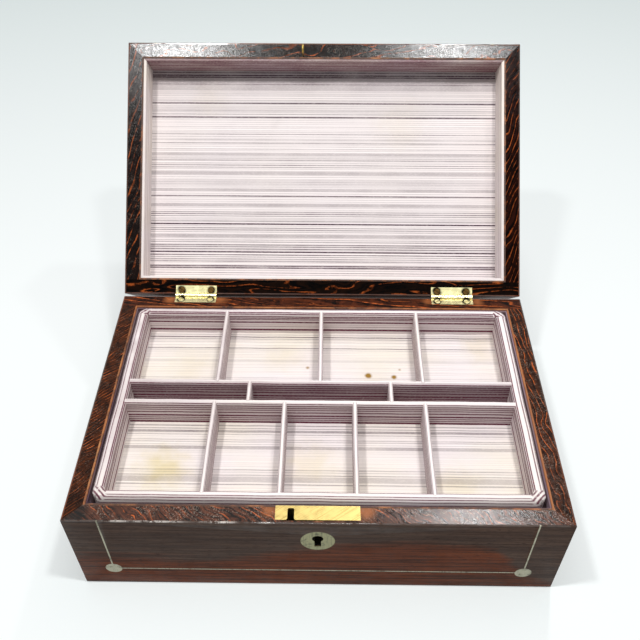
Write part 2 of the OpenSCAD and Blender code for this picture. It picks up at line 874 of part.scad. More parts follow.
base_board();
base_cover();
front_board();
back_board();
left_board();
right_board();
front_veneer();
back_veneer();
side_veneers();
front_rim();
back_rim();
left_rim();
right_rim();
tray_ledges();
wall_lining();
well_paper();
front_stringing();
front_roundels();
escutcheon();
lock_plate();
lock_case();
lock_drill_pin();
lock_spring();
lock_nails();
lock_bolt();
left_hinge_leaf();
right_hinge_leaf();
hinge_pins();
hinge_screws();
lid_top_board();
lid_front_board();
lid_back_board();
lid_left_board();
lid_right_board();
lid_top_veneer();
lid_front_veneer();
lid_back_veneer();
lid_side_veneers();
lid_front_rim();
lid_back_rim();
lid_left_rim();
lid_right_rim();
lid_lining_strips();
lid_panel();
lid_stringing();
lid_roundels();
lock_staple();
left_lid_leaf();
right_lid_leaf();
lid_hinge_screws();
tray_floor();
tray_front_wall();
tray_back_wall();
tray_end_walls();
tray_long_dividers();
rear_dividers();
narrow_dividers();
front_dividers();
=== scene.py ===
"""A rosewood box for papers and keepsakes, with a lift-out papered tray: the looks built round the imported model.

Sizes in this file are millimetres in the box's own frame, and become metres where a mesh is made.
Pieces of the lid are worked out with the lid shut and then swung open, as it stands at rest.
"""

from math import cos, pi, radians, sin

import bmesh
import bpy
import numpy as np
from bpy.props import FloatProperty, FloatVectorProperty, PointerProperty
from bpy.types import Operator, Panel, PropertyGroup
from mathutils import Matrix, Vector


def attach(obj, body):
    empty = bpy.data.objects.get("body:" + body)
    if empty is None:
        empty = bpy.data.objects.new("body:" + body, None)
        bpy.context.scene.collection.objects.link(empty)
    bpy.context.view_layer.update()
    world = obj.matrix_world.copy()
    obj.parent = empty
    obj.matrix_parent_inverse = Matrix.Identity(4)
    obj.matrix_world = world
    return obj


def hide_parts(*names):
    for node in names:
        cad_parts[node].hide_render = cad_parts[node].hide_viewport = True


bl_info = {
    "name": "Rosewood Box",
    "version": (1, 0, 0),
    "blender": (4, 5, 0),
    "location": "View3D > Sidebar > Rosewood Box",
    "description": "Builds the papered tray, linings, veneers and brass of a rosewood box",
    "category": "Add Mesh",
}

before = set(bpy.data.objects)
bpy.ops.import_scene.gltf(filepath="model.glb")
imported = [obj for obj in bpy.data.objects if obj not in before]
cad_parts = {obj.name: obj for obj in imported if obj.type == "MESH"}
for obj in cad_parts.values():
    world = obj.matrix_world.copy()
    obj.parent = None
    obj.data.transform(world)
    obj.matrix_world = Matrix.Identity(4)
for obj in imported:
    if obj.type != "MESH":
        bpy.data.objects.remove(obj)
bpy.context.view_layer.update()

LID_ANGLE = radians(136)  # how far the lid stands open at rest
HINGE_Y, HINGE_Z = 97.5, 74.15  # middle of the hinge pins
BODY_X, BODY_Y, BODY_TOP = 150, 96.5, 74  # outer planes of the body
LID_RIM, LID_TOP = 74.3, 109.3  # height of the shut lid's rim and top
TRAY_X, TRAY_Y, TRAY_CORNER = 134, 81.5, 5  # the tray's outer faces and the radius of its corners
TRAY_FOOT, TRAY_FLOOR, TRAY_TOP = 53, 56, 77  # heights of the tray
WALL, LONG_DIVIDER, SHORT_DIVIDER = 5.5, 4, 3  # thicknesses in the tray
PANEL_X, PANEL_Y, PANEL_FACE, PANEL_BACK = 138, 84.5, 97.1, 98.3  # the lid's panel
STRIP_X, STRIP_Y, STRIP_FOOT = 136, 82.5, 74.9  # inner faces and lower edge of the lid's lining strips
STRIP_HEIGHT, STRIP_THICK, STRIP_ROUND = 22.2, 2, 0.8
STEP = 2.5  # spacing of the points of a papered surface where nothing is printed
SOFT_EDGE = 0.15  # half the width over which a printed line fades
RULED_PITCH = 1.62  # spacing of the finest lines of the lining paper


def linear(colour):
    """An sRGB hex colour as linear red, green, blue and alpha."""
    parts = [int(colour[i : i + 2], 16) / 255 for i in (1, 3, 5)]
    return (*(c / 12.92 if c <= 0.04045 else ((c + 0.055) / 1.055) ** 2.4 for c in parts), 1.0)


# Sizes and colours that a user would change


def shade(name, description, colour):
    """A colour setting with its default written in sRGB hex."""
    return FloatVectorProperty(
        name=name, description=description, default=linear(colour), size=4, min=0, max=1, subtype="COLOR"
    )


class PaperSettings(PropertyGroup):
    ground: shade("Paper", "Colour of the lining paper between its lines", "#eee5e4")
    ink: shade("Ink", "Colour of the lines printed on the lining paper", "#621f38")
    faded: shade("Faded ink", "Colour of the lines on the lid's panel and the tray's floor", "#4b3440")
    edge: shade("Wall paper", "Colour of the paper on the sides of the tray's walls", "#a08a97")
    stain: shade("Stain", "Colour of old damp stains on the paper", "#f0e8bf")
    press: FloatProperty(name="Press", description="How heavily the lines are printed", default=2.3, min=0, max=4)
    ripple: FloatProperty(
        name="Ripple", description="Height of the ripples of the glued paper", default=0.00018, min=0, max=0.0004,
        unit="LENGTH",
    )  # fmt: skip


class WoodSettings(PropertyGroup):
    red: shade("Red grain", "Colour of the red-brown grain of the rosewood", "#69331a")
    brown: shade("Brown grain", "Colour of the deep grain of the rosewood", "#401f10")
    cloud: shade("Cloud", "Colour of the darkened band along the top of the front", "#41342e")
    figure: shade("Figure", "Colour of the bright lines in the rims' facing", "#c2602b")
    raw: shade("Bare wood", "Colour of the carcase wood where no veneer covers it", "#9c5d2e")
    wear: FloatProperty(
        name="Wear", description="Radius that handling has given the foot's edge; the upper edges get half of it",
        default=0.0009, min=0.0001, max=0.00095, unit="LENGTH",
    )  # fmt: skip


class MetalSettings(PropertyGroup):
    brass: shade("Brass", "Colour of the bright lacquered brass", "#fdf0b8")
    old_brass: shade("Old brass", "Colour of the tarnished screws and nails", "#5a4322")
    inlay: shade("Inlay", "Colour of the inlaid lines and discs", "#a3a08c")
    steel: shade("Steel", "Colour of the bolt, spring and pins", "#8d8d8b")


class StageSettings(PropertyGroup):
    floor: shade("Floor", "Colour of the floor", "#f1f7f6")
    daylight: FloatProperty(
        name="Daylight", description="Strength of the even light from all round", default=0.36, min=0, max=2
    )
    lamp: FloatProperty(
        name="Lamp", description="Power of the strongest lamp overhead", default=5.4, min=0, max=40, subtype="POWER"
    )


# Meshes


def swung(points, way=1):
    """Points of the shut lid turned back about the hinge's line, as they stand at rest. With way -1, points of the
    open lid as they lie when it is shut."""
    x, y, z = np.moveaxis(np.asarray(points, float), -1, 0)
    y, z = y - HINGE_Y, z - HINGE_Z
    c, s = cos(LID_ANGLE), way * sin(LID_ANGLE)
    return np.stack([x, HINGE_Y + c * y + s * z, HINGE_Z - s * y + c * z], -1)


def ripple(a, b, reach, seed):
    """Height from -1 to 1 of paper that doesn't lie quite flat: the mean of five slanted sine waves, each about
    `reach` long."""
    waves = np.random.default_rng(seed).uniform(0, 2 * pi, (5, 3))
    total = [
        np.sin(2 * pi * (a * cos(way) + b * sin(way)) / (reach * (0.6 + length / 8)) + phase)
        for way, length, phase in waves
    ]
    return sum(total) / len(total)


def printed(at, lines):
    """Ink at each distance: the strongest of the lines there, each a (middle, width, strength) that fades across its
    edges."""
    middle, width, strength = np.array(lines, float).T
    cover = (width / 2 + SOFT_EDGE - abs(np.asarray(at)[:, None] - middle)) / (2 * SOFT_EDGE)
    return (strength * np.clip(cover, 0, 1)).max(1)


def ruled(low, high, lines):
    """Distances from low to high, even steps with more of them at each line's edges, so that the lines stay sharp."""
    middle, width, _ = np.array(lines, float).T
    edges = [middle + side * (width / 2 + soft) for side in (-1, 1) for soft in (-SOFT_EDGE, SOFT_EDGE)]
    at = np.concatenate([np.linspace(low, high, max(2, round((high - low) / STEP) + 1)), *edges])
    return np.unique(np.round(at[(at >= low) & (at <= high)], 2))


def carried(profile, start, end, step=STEP, tips=0.0):
    """A grid of points [around, along]: each point of a closed profile of (side, height) is carried from its own start
    to its own end, so the ends can be mitred. Tips is a length at both ends with five times as many stations."""
    side, height = np.asarray(profile, float).T
    start, end = np.broadcast_to(start, side.shape), np.broadcast_to(end, side.shape)
    length = abs(end - start).max()
    share = np.linspace(0, 1, max(2, round(length / step) + 1))
    if tips:
        close = np.linspace(0, tips / length, max(2, round(5 * tips / step) + 1))
        between = share[(share > close[-1]) & (share < 1 - close[-1])]
        share = np.unique(np.round(np.concatenate([close, between, 1 - close]), 6))
    along = start[:, None] + (end - start)[:, None] * share
    return np.stack([along, side[:, None] + 0 * along, height[:, None] + 0 * along], -1)


def round_cornered(points):
    """Points of the tray with its four outer corners rounded: inside the corner's square, a point is drawn in until
    the square becomes a quarter disc."""
    rest = np.stack([TRAY_X - TRAY_CORNER, TRAY_Y - TRAY_CORNER])
    past = np.clip(abs(points[..., :2]) - rest, 0, None)
    corner = past.min(-1) > 1e-6
    shrink = np.where(corner, past.max(-1) / np.maximum(np.hypot(past[..., 0], past[..., 1]), 1e-9), 1.0)
    drawn = points.copy()
    moved = np.sign(points[..., :2]) * (rest + past * shrink[..., None])
    drawn[..., :2] = np.where(corner[..., None], moved, points[..., :2])
    return drawn


def crosswise(points):
    """The same grid carried along Y instead of X."""
    return points[..., [1, 0, 2]]


def round_topped(thick, high, lines, sides, outer=None):
    """Closed profile of a papered wall: up one side, over a half round top and down the other side. Distances for the
    lines run from the middle of the top, the first side may have lines of its own, and both sides have an even tint
    of ink that makes them darker than the top: partly the paper's print, partly painted shade."""
    r = thick / 2
    quarter = pi * r / 2
    reach = high - r - TRAY_FLOOR + quarter
    outer = outer or lines
    at = [-ruled(0, reach, outer)[:0:-1], ruled(0, reach, lines), np.linspace(-quarter, quarter, 15)]
    at = np.unique(np.round(np.concatenate(at), 2))
    turn = np.clip(at / r, -pi / 2, pi / 2)
    below = np.clip(abs(at) - quarter, 0, None)
    side, height = r * np.sin(turn), high - r + r * np.cos(turn) - below
    # The sides are tinted darker than the top: partly the paper's print, partly painted shade
    tint = sides * np.clip((abs(at) - r) / r, 0, 1)
    ink = np.where(at < 0, printed(-at, outer), printed(at, lines))
    return np.stack([side, height], -1), np.maximum(ink, tint)


def shell(points, first):
    """Faces of a grid that is closed around and covered at both ends, all turned outwards. Its points are numbered
    from the first on."""
    around, along, _ = points.shape
    ring, line = np.meshgrid(np.arange(around), np.arange(along - 1), indexing="ij")
    after = (ring + 1) % around
    quads = np.stack([ring * along + line, after * along + line, after * along + line + 1, ring * along + line + 1], -1)
    quads = quads.reshape(-1, 4)
    covers = [np.arange(around)[::-1] * along, np.arange(around) * along + along - 1]
    flat = points.reshape(-1, 3) - points.reshape(-1, 3).mean(0)
    a, b, c, d = (flat[quads[:, i]] for i in range(4))
    volume = (a * (np.cross(b, c) + np.cross(c, d))).sum()
    faces = [*(quads + first).tolist(), *((cover + first).tolist() for cover in covers)]
    return faces if volume > 0 else [face[::-1] for face in faces]


def papered(name, parts, body, material, nodes):
    """One piece from several closed grids, each (points in millimetres, ink around or ink at every point). It rides on
    a body and stands for CAD nodes."""
    corners, faces, inks = [], [], []
    for points, ink in parts:
        faces += shell(points, sum(len(c) for c in corners))
        corners.append(points.reshape(-1, 3))
        ink = np.asarray(ink, float)
        inks.append((ink[:, None] + 0 * points[..., 0] if ink.ndim == 1 else ink).ravel())
    mesh = bpy.data.meshes.new(name)
    mesh.from_pydata((np.concatenate(corners) / 1000).tolist(), [], faces)
    inks = np.concatenate(inks).astype(np.float32)
    mesh.attributes.new("ink", "FLOAT", "POINT").data.foreach_set("value", inks)
    mesh.shade_smooth()
    mesh.set_sharp_from_angle(angle=radians(40))
    settle(bpy.data.objects.new(name, mesh), body, material, nodes)


def settle(piece, body, material, nodes):
    """Links a piece, gives it its material, parents it to its body and hides the CAD nodes it stands for."""
    bpy.context.scene.collection.objects.link(piece)
    piece.data.materials.clear()
    piece.data.materials.append(material)
    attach(piece, body)
    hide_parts(*nodes)


def worn(node, material, body, wear, on_lid=False):
    """A copy of a CAD veneer whose outer arrises are rounded by handling. Its triangles are merged into whole faces,
    and the edges that lie on two of the box's outer planes get the weight of a bevel: all of it at the foot and the
    lid's top, half elsewhere."""
    copy = bmesh.new()
    copy.from_mesh(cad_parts[node].data)
    bmesh.ops.remove_doubles(copy, verts=copy.verts, dist=1e-6)
    bmesh.ops.dissolve_limit(copy, angle_limit=radians(0.5), verts=copy.verts, edges=copy.edges)
    mesh = bpy.data.meshes.new(node + "_worn")
    copy.to_mesh(mesh)
    copy.free()
    at = np.empty(len(mesh.vertices) * 3, np.float32)
    mesh.vertices.foreach_get("co", at)
    at = at.reshape(-1, 3) * 1000
    at = swung(at, -1) if on_lid else at
    ends = np.empty(len(mesh.edges) * 2, np.int32)
    mesh.edges.foreach_get("vertices", ends)
    ends = at[ends.reshape(-1, 2)]
    foot, rim = (LID_TOP, LID_RIM) if on_lid else (0, BODY_TOP)
    outer = [(0, -BODY_X), (0, BODY_X), (1, -BODY_Y), (1, BODY_Y), (2, foot), (2, rim)]
    on_plane = np.array([(abs(ends[..., axis] - level) < 0.02).all(1) for axis, level in outer])
    weight = np.where(on_plane.sum(0) < 2, 0.0, np.where(on_plane[4], 1.0, 0.5))
    weights = mesh.attributes.new("bevel_weight_edge", "FLOAT", "EDGE")
    weights.data.foreach_set("value", weight.astype(np.float32))
    mesh.shade_smooth()
    mesh.set_sharp_from_angle(angle=radians(30))
    sharp = np.empty(len(mesh.edges), bool)
    mesh.attributes["sharp_edge"].data.foreach_get("value", sharp)
    mesh.attributes["sharp_edge"].data.foreach_set("value", sharp & (weight == 0))
    piece = bpy.data.objects.new(node + "_worn", mesh)
    bevel = piece.modifiers.new("Worn arris", "BEVEL")
    bevel.limit_method, bevel.width, bevel.segments, bevel.harden_normals = "WEIGHT", wear, 3, True
    settle(piece, body, material, [node])


# Materials


def feed(node, feeds):
    """Sets a node's inputs by name or number, each from a value, a socket, or a node whose first output is meant."""
    for name, value in feeds.items():
        value = value.outputs[0] if isinstance(value, bpy.types.Node) else value
        if isinstance(value, bpy.types.NodeSocket):
            node.id_data.links.new(value, node.inputs[name])
        else:
            node.inputs[name].default_value = value


def add(tree, kind, feeds=None, stops=None, **settings):
    """Adds a node with its settings and inputs. Stops are a ramp's positions and colours, or greys."""
    node = tree.nodes.new(kind)
    for name, value in settings.items():
        setattr(node, name, value)
    feed(node, feeds or {})
    for number, (position, colour) in enumerate(stops or ()):
        # A new ramp has two stops of its own
        element = node.color_ramp.elements[number] if number < 2 else node.color_ramp.elements.new(position)
        element.position = position
        element.color = (colour, colour, colour, 1) if isinstance(colour, float) else colour
    return node


def new_material(name):
    """A new material, its tree and its empty Principled shader."""
    material = bpy.data.materials.new(name)
    material.use_nodes = True
    tree = material.node_tree
    tree.nodes.clear()
    shader = add(tree, "ShaderNodeBsdfPrincipled")
    add(tree, "ShaderNodeOutputMaterial", {"Surface": shader})
    return material, tree, shader


def coordinates(tree, on_lid=False):
    """Object coordinates in millimetres, on the lid as they are when it is shut."""
    feeds = {"Vector": add(tree, "ShaderNodeTexCoord").outputs["Object"], "Scale": (1000, 1000, 1000)}
    if on_lid:
        c, s = cos(LID_ANGLE), sin(LID_ANGLE)
        feeds["Rotation"] = (LID_ANGLE, 0, 0)
        feeds["Location"] = (0, HINGE_Y - (c * HINGE_Y - s * HINGE_Z), HINGE_Z - (s * HINGE_Y + c * HINGE_Z))
    return add(tree, "ShaderNodeMapping", feeds).outputs[0]


def grain(tree, at, size, detail=3.0, roughness=0.5, distortion=0.0, offset=(0, 0, 0)):
    """Cloudy noise from 0 to 1 whose features have this size in millimetres along X, Y and Z."""
    scaled = add(tree, "ShaderNodeMapping", {"Vector": at, "Scale": tuple(1 / s for s in size), "Location": offset})
    feeds = {"Vector": scaled, "Scale": 1.0, "Detail": detail, "Roughness": roughness, "Distortion": distortion}
    return add(tree, "ShaderNodeTexNoise", feeds).outputs[0]


def patches(tree, noise, low, high, weakest=0.0, strongest=1.0):
    """Noise turned into patches: weakest where it is under the low value, strongest where it is over the high one."""
    feeds = {"Value": noise, "From Min": low, "From Max": high, "To Min": weakest, "To Max": strongest}
    return add(tree, "ShaderNodeMapRange", feeds).outputs[0]


def spots(tree, at, marks):
    """Stains: the strongest of some soft round marks, each (x, y, z, radius, strength) with an uneven edge. Nothing
    where there are no marks."""
    if not marks:
        return None
    edge = add(tree, "ShaderNodeMath", {0: grain(tree, at, (9, 9, 9)), 1: -0.5}, operation="ADD")
    total = None
    for x, y, z, radius, strength in marks:
        far = add(tree, "ShaderNodeVectorMath", {0: at, 1: (x, y, z)}, operation="DISTANCE").outputs["Value"]
        far = add(tree, "ShaderNodeMath", {0: edge, 1: radius * 0.9, 2: far}, operation="MULTIPLY_ADD")
        feeds = {"Value": far, "From Min": 0.0, "From Max": radius, "To Min": strength, "To Max": 0.0}
        mark = add(tree, "ShaderNodeMapRange", feeds, interpolation_type="SMOOTHSTEP")
        total = add(tree, "ShaderNodeMath", {0: mark, 1: total}, operation="MAXIMUM") if total else mark
    return total


def coats(tree, colour, *layers):
    """Colours laid over a first one in turn, each (how much, colour), or with the way of blending as a third. A layer
    of nothing is left out."""
    for much, over, *way in layers:
        if much is None:
            continue
        feeds = {"Factor": much, 6: colour, 7: over}
        blend = add(tree, "ShaderNodeMix", feeds, data_type="RGBA", blend_type=way[0] if way else "MIX")
        colour = blend.outputs[2]
    return colour


def lining_paper(name, settings, on_lid=False, across=1, stains=(), foxing=(), yellow=0.2, force=1.0, ruling=0.0):
    """Lining paper printed with lilac lines and glued down by hand: matt, a little fibrous, faded in patches, with
    damp stains.

    The lines' ink comes from the piece's own ink attribute. Faint lines between them, too fine for the mesh, follow
    the axis across: a noise drawn out along the paper, and a sine of the distance."""
    material, tree, shader = new_material(name)
    at = coordinates(tree, on_lid)
    fine = [420.0, 420.0, 420.0]
    fine[across] = 0.75
    faint = patches(tree, grain(tree, at, fine, 1.0), 0.5, 0.66, 0.0, 0.1)
    if ruling:
        distance = add(tree, "ShaderNodeSeparateXYZ", {0: at}).outputs[across]
        turn = add(tree, "ShaderNodeMath", {0: distance, 1: 2 * pi / RULED_PITCH}, operation="MULTIPLY")
        even = add(tree, "ShaderNodeMath", {0: turn}, operation="SINE")
        even = add(tree, "ShaderNodeMath", {0: even, 1: ruling}, operation="MULTIPLY")
        faint = add(tree, "ShaderNodeMath", {0: faint, 1: even}, operation="MAXIMUM")
    ink = add(tree, "ShaderNodeAttribute", attribute_name="ink").outputs["Fac"]
    ink = add(tree, "ShaderNodeMath", {0: ink, 1: faint}, operation="MAXIMUM")
    press = force * settings.press
    fade = patches(tree, grain(tree, at, (30, 12, 12), 4), 0.3, 0.65, 0.7 * press, press)
    ink = add(tree, "ShaderNodeMath", {0: ink, 1: fade}, operation="MULTIPLY", use_clamp=True)
    rubbed = patches(tree, grain(tree, at, (1.6, 0.5, 0.5), 2), 0.3, 0.5, 0.75, 1.0)
    ink = add(tree, "ShaderNodeMath", {0: ink, 1: rubbed}, operation="MULTIPLY")
    aged = patches(tree, grain(tree, at, (70, 45, 45), 3), 0.35, 0.7, 0.0, yellow)
    layers = [
        (aged, settings.stain),
        (ink, settings.faded if ruling else settings.ink),
        (spots(tree, at, stains), settings.stain, "MULTIPLY"),
        (spots(tree, at, foxing), linear("#94702a")),
    ]
    feeds = {0: grain(tree, at, (0.7, 0.7, 0.7), 4), 1: grain(tree, at, (9, 4, 4), 2)}
    fibres = add(tree, "ShaderNodeMath", feeds, operation="ADD")
    bump = add(tree, "ShaderNodeBump", {"Height": fibres, "Strength": 0.35, "Distance": 0.00025})
    colour = coats(tree, settings.ground, *layers)
    feed(shader, {"Base Color": colour, "Roughness": 0.8, "Specular IOR Level": 0.3, "Normal": bump})
    return material


def card_paper(name, settings, axis=2):
    """Plain lilac paper on card: matt, dirty in patches, with faint lines along the wall from a noise that is fine
    along one axis only."""
    material, tree, shader = new_material(name)
    at = coordinates(tree)
    size = [300.0, 300.0, 300.0]
    size[axis] = 1.1
    tones = [(0.45, settings.edge), (0.62, settings.faded)]
    lines = add(tree, "ShaderNodeValToRGB", {0: grain(tree, at, size, 1.0)}, tones)
    dirt = patches(tree, grain(tree, at, (26, 26, 14), 4), 0.4, 0.75, 0.0, 0.5)
    colour = coats(tree, lines.outputs[0], (dirt, linear("#8d7466")))
    feeds = {"Height": grain(tree, at, (0.7, 0.7, 0.7), 3), "Strength": 0.4, "Distance": 0.0002}
    bump = add(tree, "ShaderNodeBump", feeds)
    feed(shader, {"Base Color": colour, "Roughness": 0.85, "Normal": bump})
    return material


def base_paper(name):
    """Blue-grey paper under the base: matt, clouded and dirty."""
    material, tree, shader = new_material(name)
    at = coordinates(tree)
    tones = [(0.35, linear("#3d4247")), (0.6, linear("#565c60")), (0.8, linear("#77736a"))]
    colour = add(tree, "ShaderNodeValToRGB", {0: grain(tree, at, (40, 40, 40), 6, 0.6)}, tones)
    bump = add(tree, "ShaderNodeBump", {"Height": grain(tree, at, (1, 1, 1), 4), "Strength": 0.5, "Distance": 0.0002})
    feed(shader, {"Base Color": colour, "Roughness": 0.9, "Normal": bump})
    return material


def rosewood(name, settings, along=0, on_lid=False, seed=0.0, border=None, painted_arris_glints=()):
    """Rosewood veneer, French polished long ago: red-brown and deep brown grain along the board, fine dark pores, a
    darkened cloud, and a satin film that is duller where it is worn.

    Border gives the cloud's lower border as (x, height) pairs; without it the cloud is loose patches."""
    material, tree, shader = new_material(name)
    at = coordinates(tree, on_lid)
    long, broad, narrow, pore = [2.2] * 3, [0.9] * 3, [16.0] * 3, [0.35] * 3
    long[along], broad[along], narrow[along], pore[along] = 85.0, 40.0, 140.0, 4.0
    wave = grain(tree, at, long, 5, 0.6, 0.6, (seed, seed, 0))
    fine = grain(tree, at, broad, 3, 0.6, 0.0, (0, seed, seed))
    drift = grain(tree, at, narrow, 4, 0.55, 0.4, (seed, 0, seed))
    tones = [(0.38, settings.brown), (0.53, settings.red), (0.68, linear("#743c20"))]
    figure = add(tree, "ShaderNodeValToRGB", {0: wave}, tones).outputs[0]
    x, _, z = add(tree, "ShaderNodeSeparateXYZ", {0: at}).outputs
    if border:
        share = patches(tree, x, -BODY_X, BODY_X)
        heights = [((edge_x + BODY_X) / (2 * BODY_X), edge_z / 100) for edge_x, edge_z in border]
        under = add(tree, "ShaderNodeValToRGB", {0: share}, heights)
        under.color_ramp.interpolation = "B_SPLINE"
        over = add(tree, "ShaderNodeMath", {0: under, 1: -100.0, 2: z}, operation="MULTIPLY_ADD")
        over = add(tree, "ShaderNodeMath", {0: drift, 1: 30.0, 2: over}, operation="MULTIPLY_ADD")
        cloud = patches(tree, over, 9.0, 19.0, 0.0, 0.9)
    else:
        cloud = patches(tree, drift, 0.5, 0.62, 0.0, 0.8)
    dusk = add(tree, "ShaderNodeValToRGB", {0: wave}, [(0.4, settings.cloud), (0.65, linear("#54453b"))])
    streak = patches(tree, fine, 0.46, 0.64, 0.0, 0.5)
    pores = patches(tree, grain(tree, at, pore, 1.0), 0.58, 0.68, 0.0, 0.7)
    layers = [(cloud, dusk), (streak, linear("#221009")), (pores, linear("#1f110e"))]
    # Varnish has gathered along the upper arris, and at the marks a broken pale line is painted along it: a painted
    # highlight
    near = patches(tree, z, *((75.1, 74.7) if on_lid else (73.2, 73.6)))
    built = patches(tree, grain(tree, at, (5, 5, 5), 4), 0.34, 0.46)
    varnish = add(tree, "ShaderNodeMath", {0: near, 1: built}, operation="MULTIPLY")
    if painted_arris_glints:
        flecks = patches(tree, grain(tree, at, (5, 5, 5), 8, 0.8), 0.44, 0.52)
        painted_arris_glint = add(tree, "ShaderNodeMath", {0: spots(tree, at, painted_arris_glints), 1: flecks}, operation="MULTIPLY")
        painted_arris_glint = add(tree, "ShaderNodeMath", {0: near, 1: painted_arris_glint}, operation="MULTIPLY")
        layers.append((painted_arris_glint, linear("#cdc4bc")))
    height = add(tree, "ShaderNodeMath", {0: pores, 1: -1.0, 2: fine}, operation="MULTIPLY_ADD")
    bump = add(tree, "ShaderNodeBump", {"Height": height, "Strength": 0.3, "Distance": 0.0001})
    film = patches(tree, grain(tree, at, (9, 9, 9), 5), 0.3, 0.7, 0.3, 0.48)
    feed(shader, {"Base Color": coats(tree, figure, *layers), "Roughness": film, "Normal": bump})
    feed(shader, {"Specular IOR Level": 0.05, "Coat Weight": varnish, "Coat Roughness": 0.14})
    return material


def figured_facing(
    name, settings, slant, pitch, loops, swirl, tones, broken, seed, on_lid, bare=(), holes=(), gloss=0.1, dust_and_glints=0.0
):
    """Rosewood facing of the rims under thick old varnish: nearly black with thin orange lines, and a crackled gloss
    that throws speckled glints.

    The lines are the contours of a slanted distance plus slow noise: that sum is folded to and fro between 0 and 1,
    narrowed to a line every `pitch` millimetres, roughened at its edges and broken by coarser noise."""
    material, tree, shader = new_material(name)
    at = coordinates(tree, on_lid)
    x, y, _ = add(tree, "ShaderNodeSeparateXYZ", {0: at}).outputs
    slow = grain(tree, at, (*swirl, 60), 1.0, 0.4, 0.5, (seed, seed, seed))
    run = add(tree, "ShaderNodeMath", {0: x, 1: 2 * slant[0] / pitch}, operation="MULTIPLY")
    run = add(tree, "ShaderNodeMath", {0: y, 1: 2 * slant[1] / pitch, 2: run}, operation="MULTIPLY_ADD")
    run = add(tree, "ShaderNodeMath", {0: slow, 1: loops, 2: run}, operation="MULTIPLY_ADD")
    wave = add(tree, "ShaderNodeMath", {0: run, 1: 1.0}, operation="PINGPONG")
    # The same sum drives a noise that is the same all along a line: some lines are bright and some nearly lost
    band = add(tree, "ShaderNodeTexNoise", {"W": run, "Scale": 1.3, "Detail": 3.0}, noise_dimensions="1D").outputs[0]
    ragged = grain(tree, at, (1.8, 1.8, 1.8), 3, 0.6)
    wave = add(tree, "ShaderNodeMath", {0: ragged, 1: 0.4, 2: wave}, operation="MULTIPLY_ADD")
    feeds = {"Value": wave, "From Min": 1.0, "From Max": 1.12}
    line = add(tree, "ShaderNodeMapRange", feeds, interpolation_type="SMOOTHSTEP")
    gaps = patches(tree, grain(tree, at, (7, 7, 7), 4, 0.65), broken, broken + 0.16)
    line = add(tree, "ShaderNodeMath", {0: line, 1: gaps}, operation="MULTIPLY")
    keen = patches(tree, band, 0.38, 0.56, 0.2, 0.6 if on_lid else 1.0)
    line = add(tree, "ShaderNodeMath", {0: line, 1: keen}, operation="MULTIPLY")
    cloudy = add(tree, "ShaderNodeMath", {0: grain(tree, at, (6, 6, 6), 6, 0.7, 0.5), 1: band}, operation="ADD")
    cloudy = add(tree, "ShaderNodeMath", {0: cloudy, 1: 0.5}, operation="MULTIPLY")
    wood = add(tree, "ShaderNodeValToRGB", {0: cloudy}, [(0.42, linear(tones[0])), (0.6, linear(tones[1]))])
    layers = [(line, settings.figure)]
    if dust_and_glints:
        # Pale specks: partly dust in the crackle, partly painted glints of the crackled varnish
        specks = patches(tree, grain(tree, at, (0.9, 0.9, 0.9), 2, 0.6), 0.54, 0.66)
        speck_patches = patches(tree, grain(tree, at, (16, 7, 7), 3, 0.6), 0.44, 0.56, 0.0, dust_and_glints)
        specks = add(tree, "ShaderNodeMath", {0: specks, 1: speck_patches}, operation="MULTIPLY")
        layers.append((specks, linear("#b9a898")))
    layers += [(spots(tree, at, bare), linear("#a8653a")), (spots(tree, at, holes), linear("#0c0705"))]
    film = patches(tree, grain(tree, at, (3, 3, 3), 8, 0.75), 0.35, 0.65, 0.08, 0.24)
    feeds = {0: grain(tree, at, (0.7, 0.7, 0.7), 3, 0.6), 1: grain(tree, at, (5, 5, 5), 2)}
    crackle = add(tree, "ShaderNodeMath", feeds, operation="ADD")
    bump = add(tree, "ShaderNodeBump", {"Height": crackle, "Strength": 0.7, "Distance": 0.00008})
    colour = coats(tree, wood.outputs[0], *layers)
    feed(shader, {"Base Color": colour, "Roughness": film, "Specular IOR Level": gloss, "Normal": bump})
    return material


def bare_wood(name, settings, along=0, on_lid=False, grime_and_painted_shadow=0.5, holes=()):
    """Carcase wood left bare and oiled by handling: orange-brown straight grain, open pores, grey dirt in the hollows,
    matt."""
    material, tree, shader = new_material(name)
    at = coordinates(tree, on_lid)
    size = [1.3] * 3
    size[along] = 30.0
    tones = [(0.33, linear("#8a4f28")), (0.55, settings.raw), (0.75, linear("#cf9459"))]
    wood = add(tree, "ShaderNodeValToRGB", {0: grain(tree, at, size, 5, 0.6, 0.3)}, tones)
    dirt = patches(tree, grain(tree, at, (8, 8, 8), 5, 0.65), 0.6 - 0.3 * grime_and_painted_shadow, 0.8 - 0.3 * grime_and_painted_shadow, 0.0, 0.9)
    # Near-black marks at the holes: painted shade inside them
    layers = [(dirt, linear("#2c170f")), (spots(tree, at, holes), linear("#060403"))]
    bump = add(tree, "ShaderNodeBump", {"Height": grain(tree, at, size, 4), "Strength": 0.4, "Distance": 0.0002})
    feed(shader, {"Base Color": coats(tree, wood.outputs[0], *layers), "Roughness": 0.62, "Normal": bump})
    return material


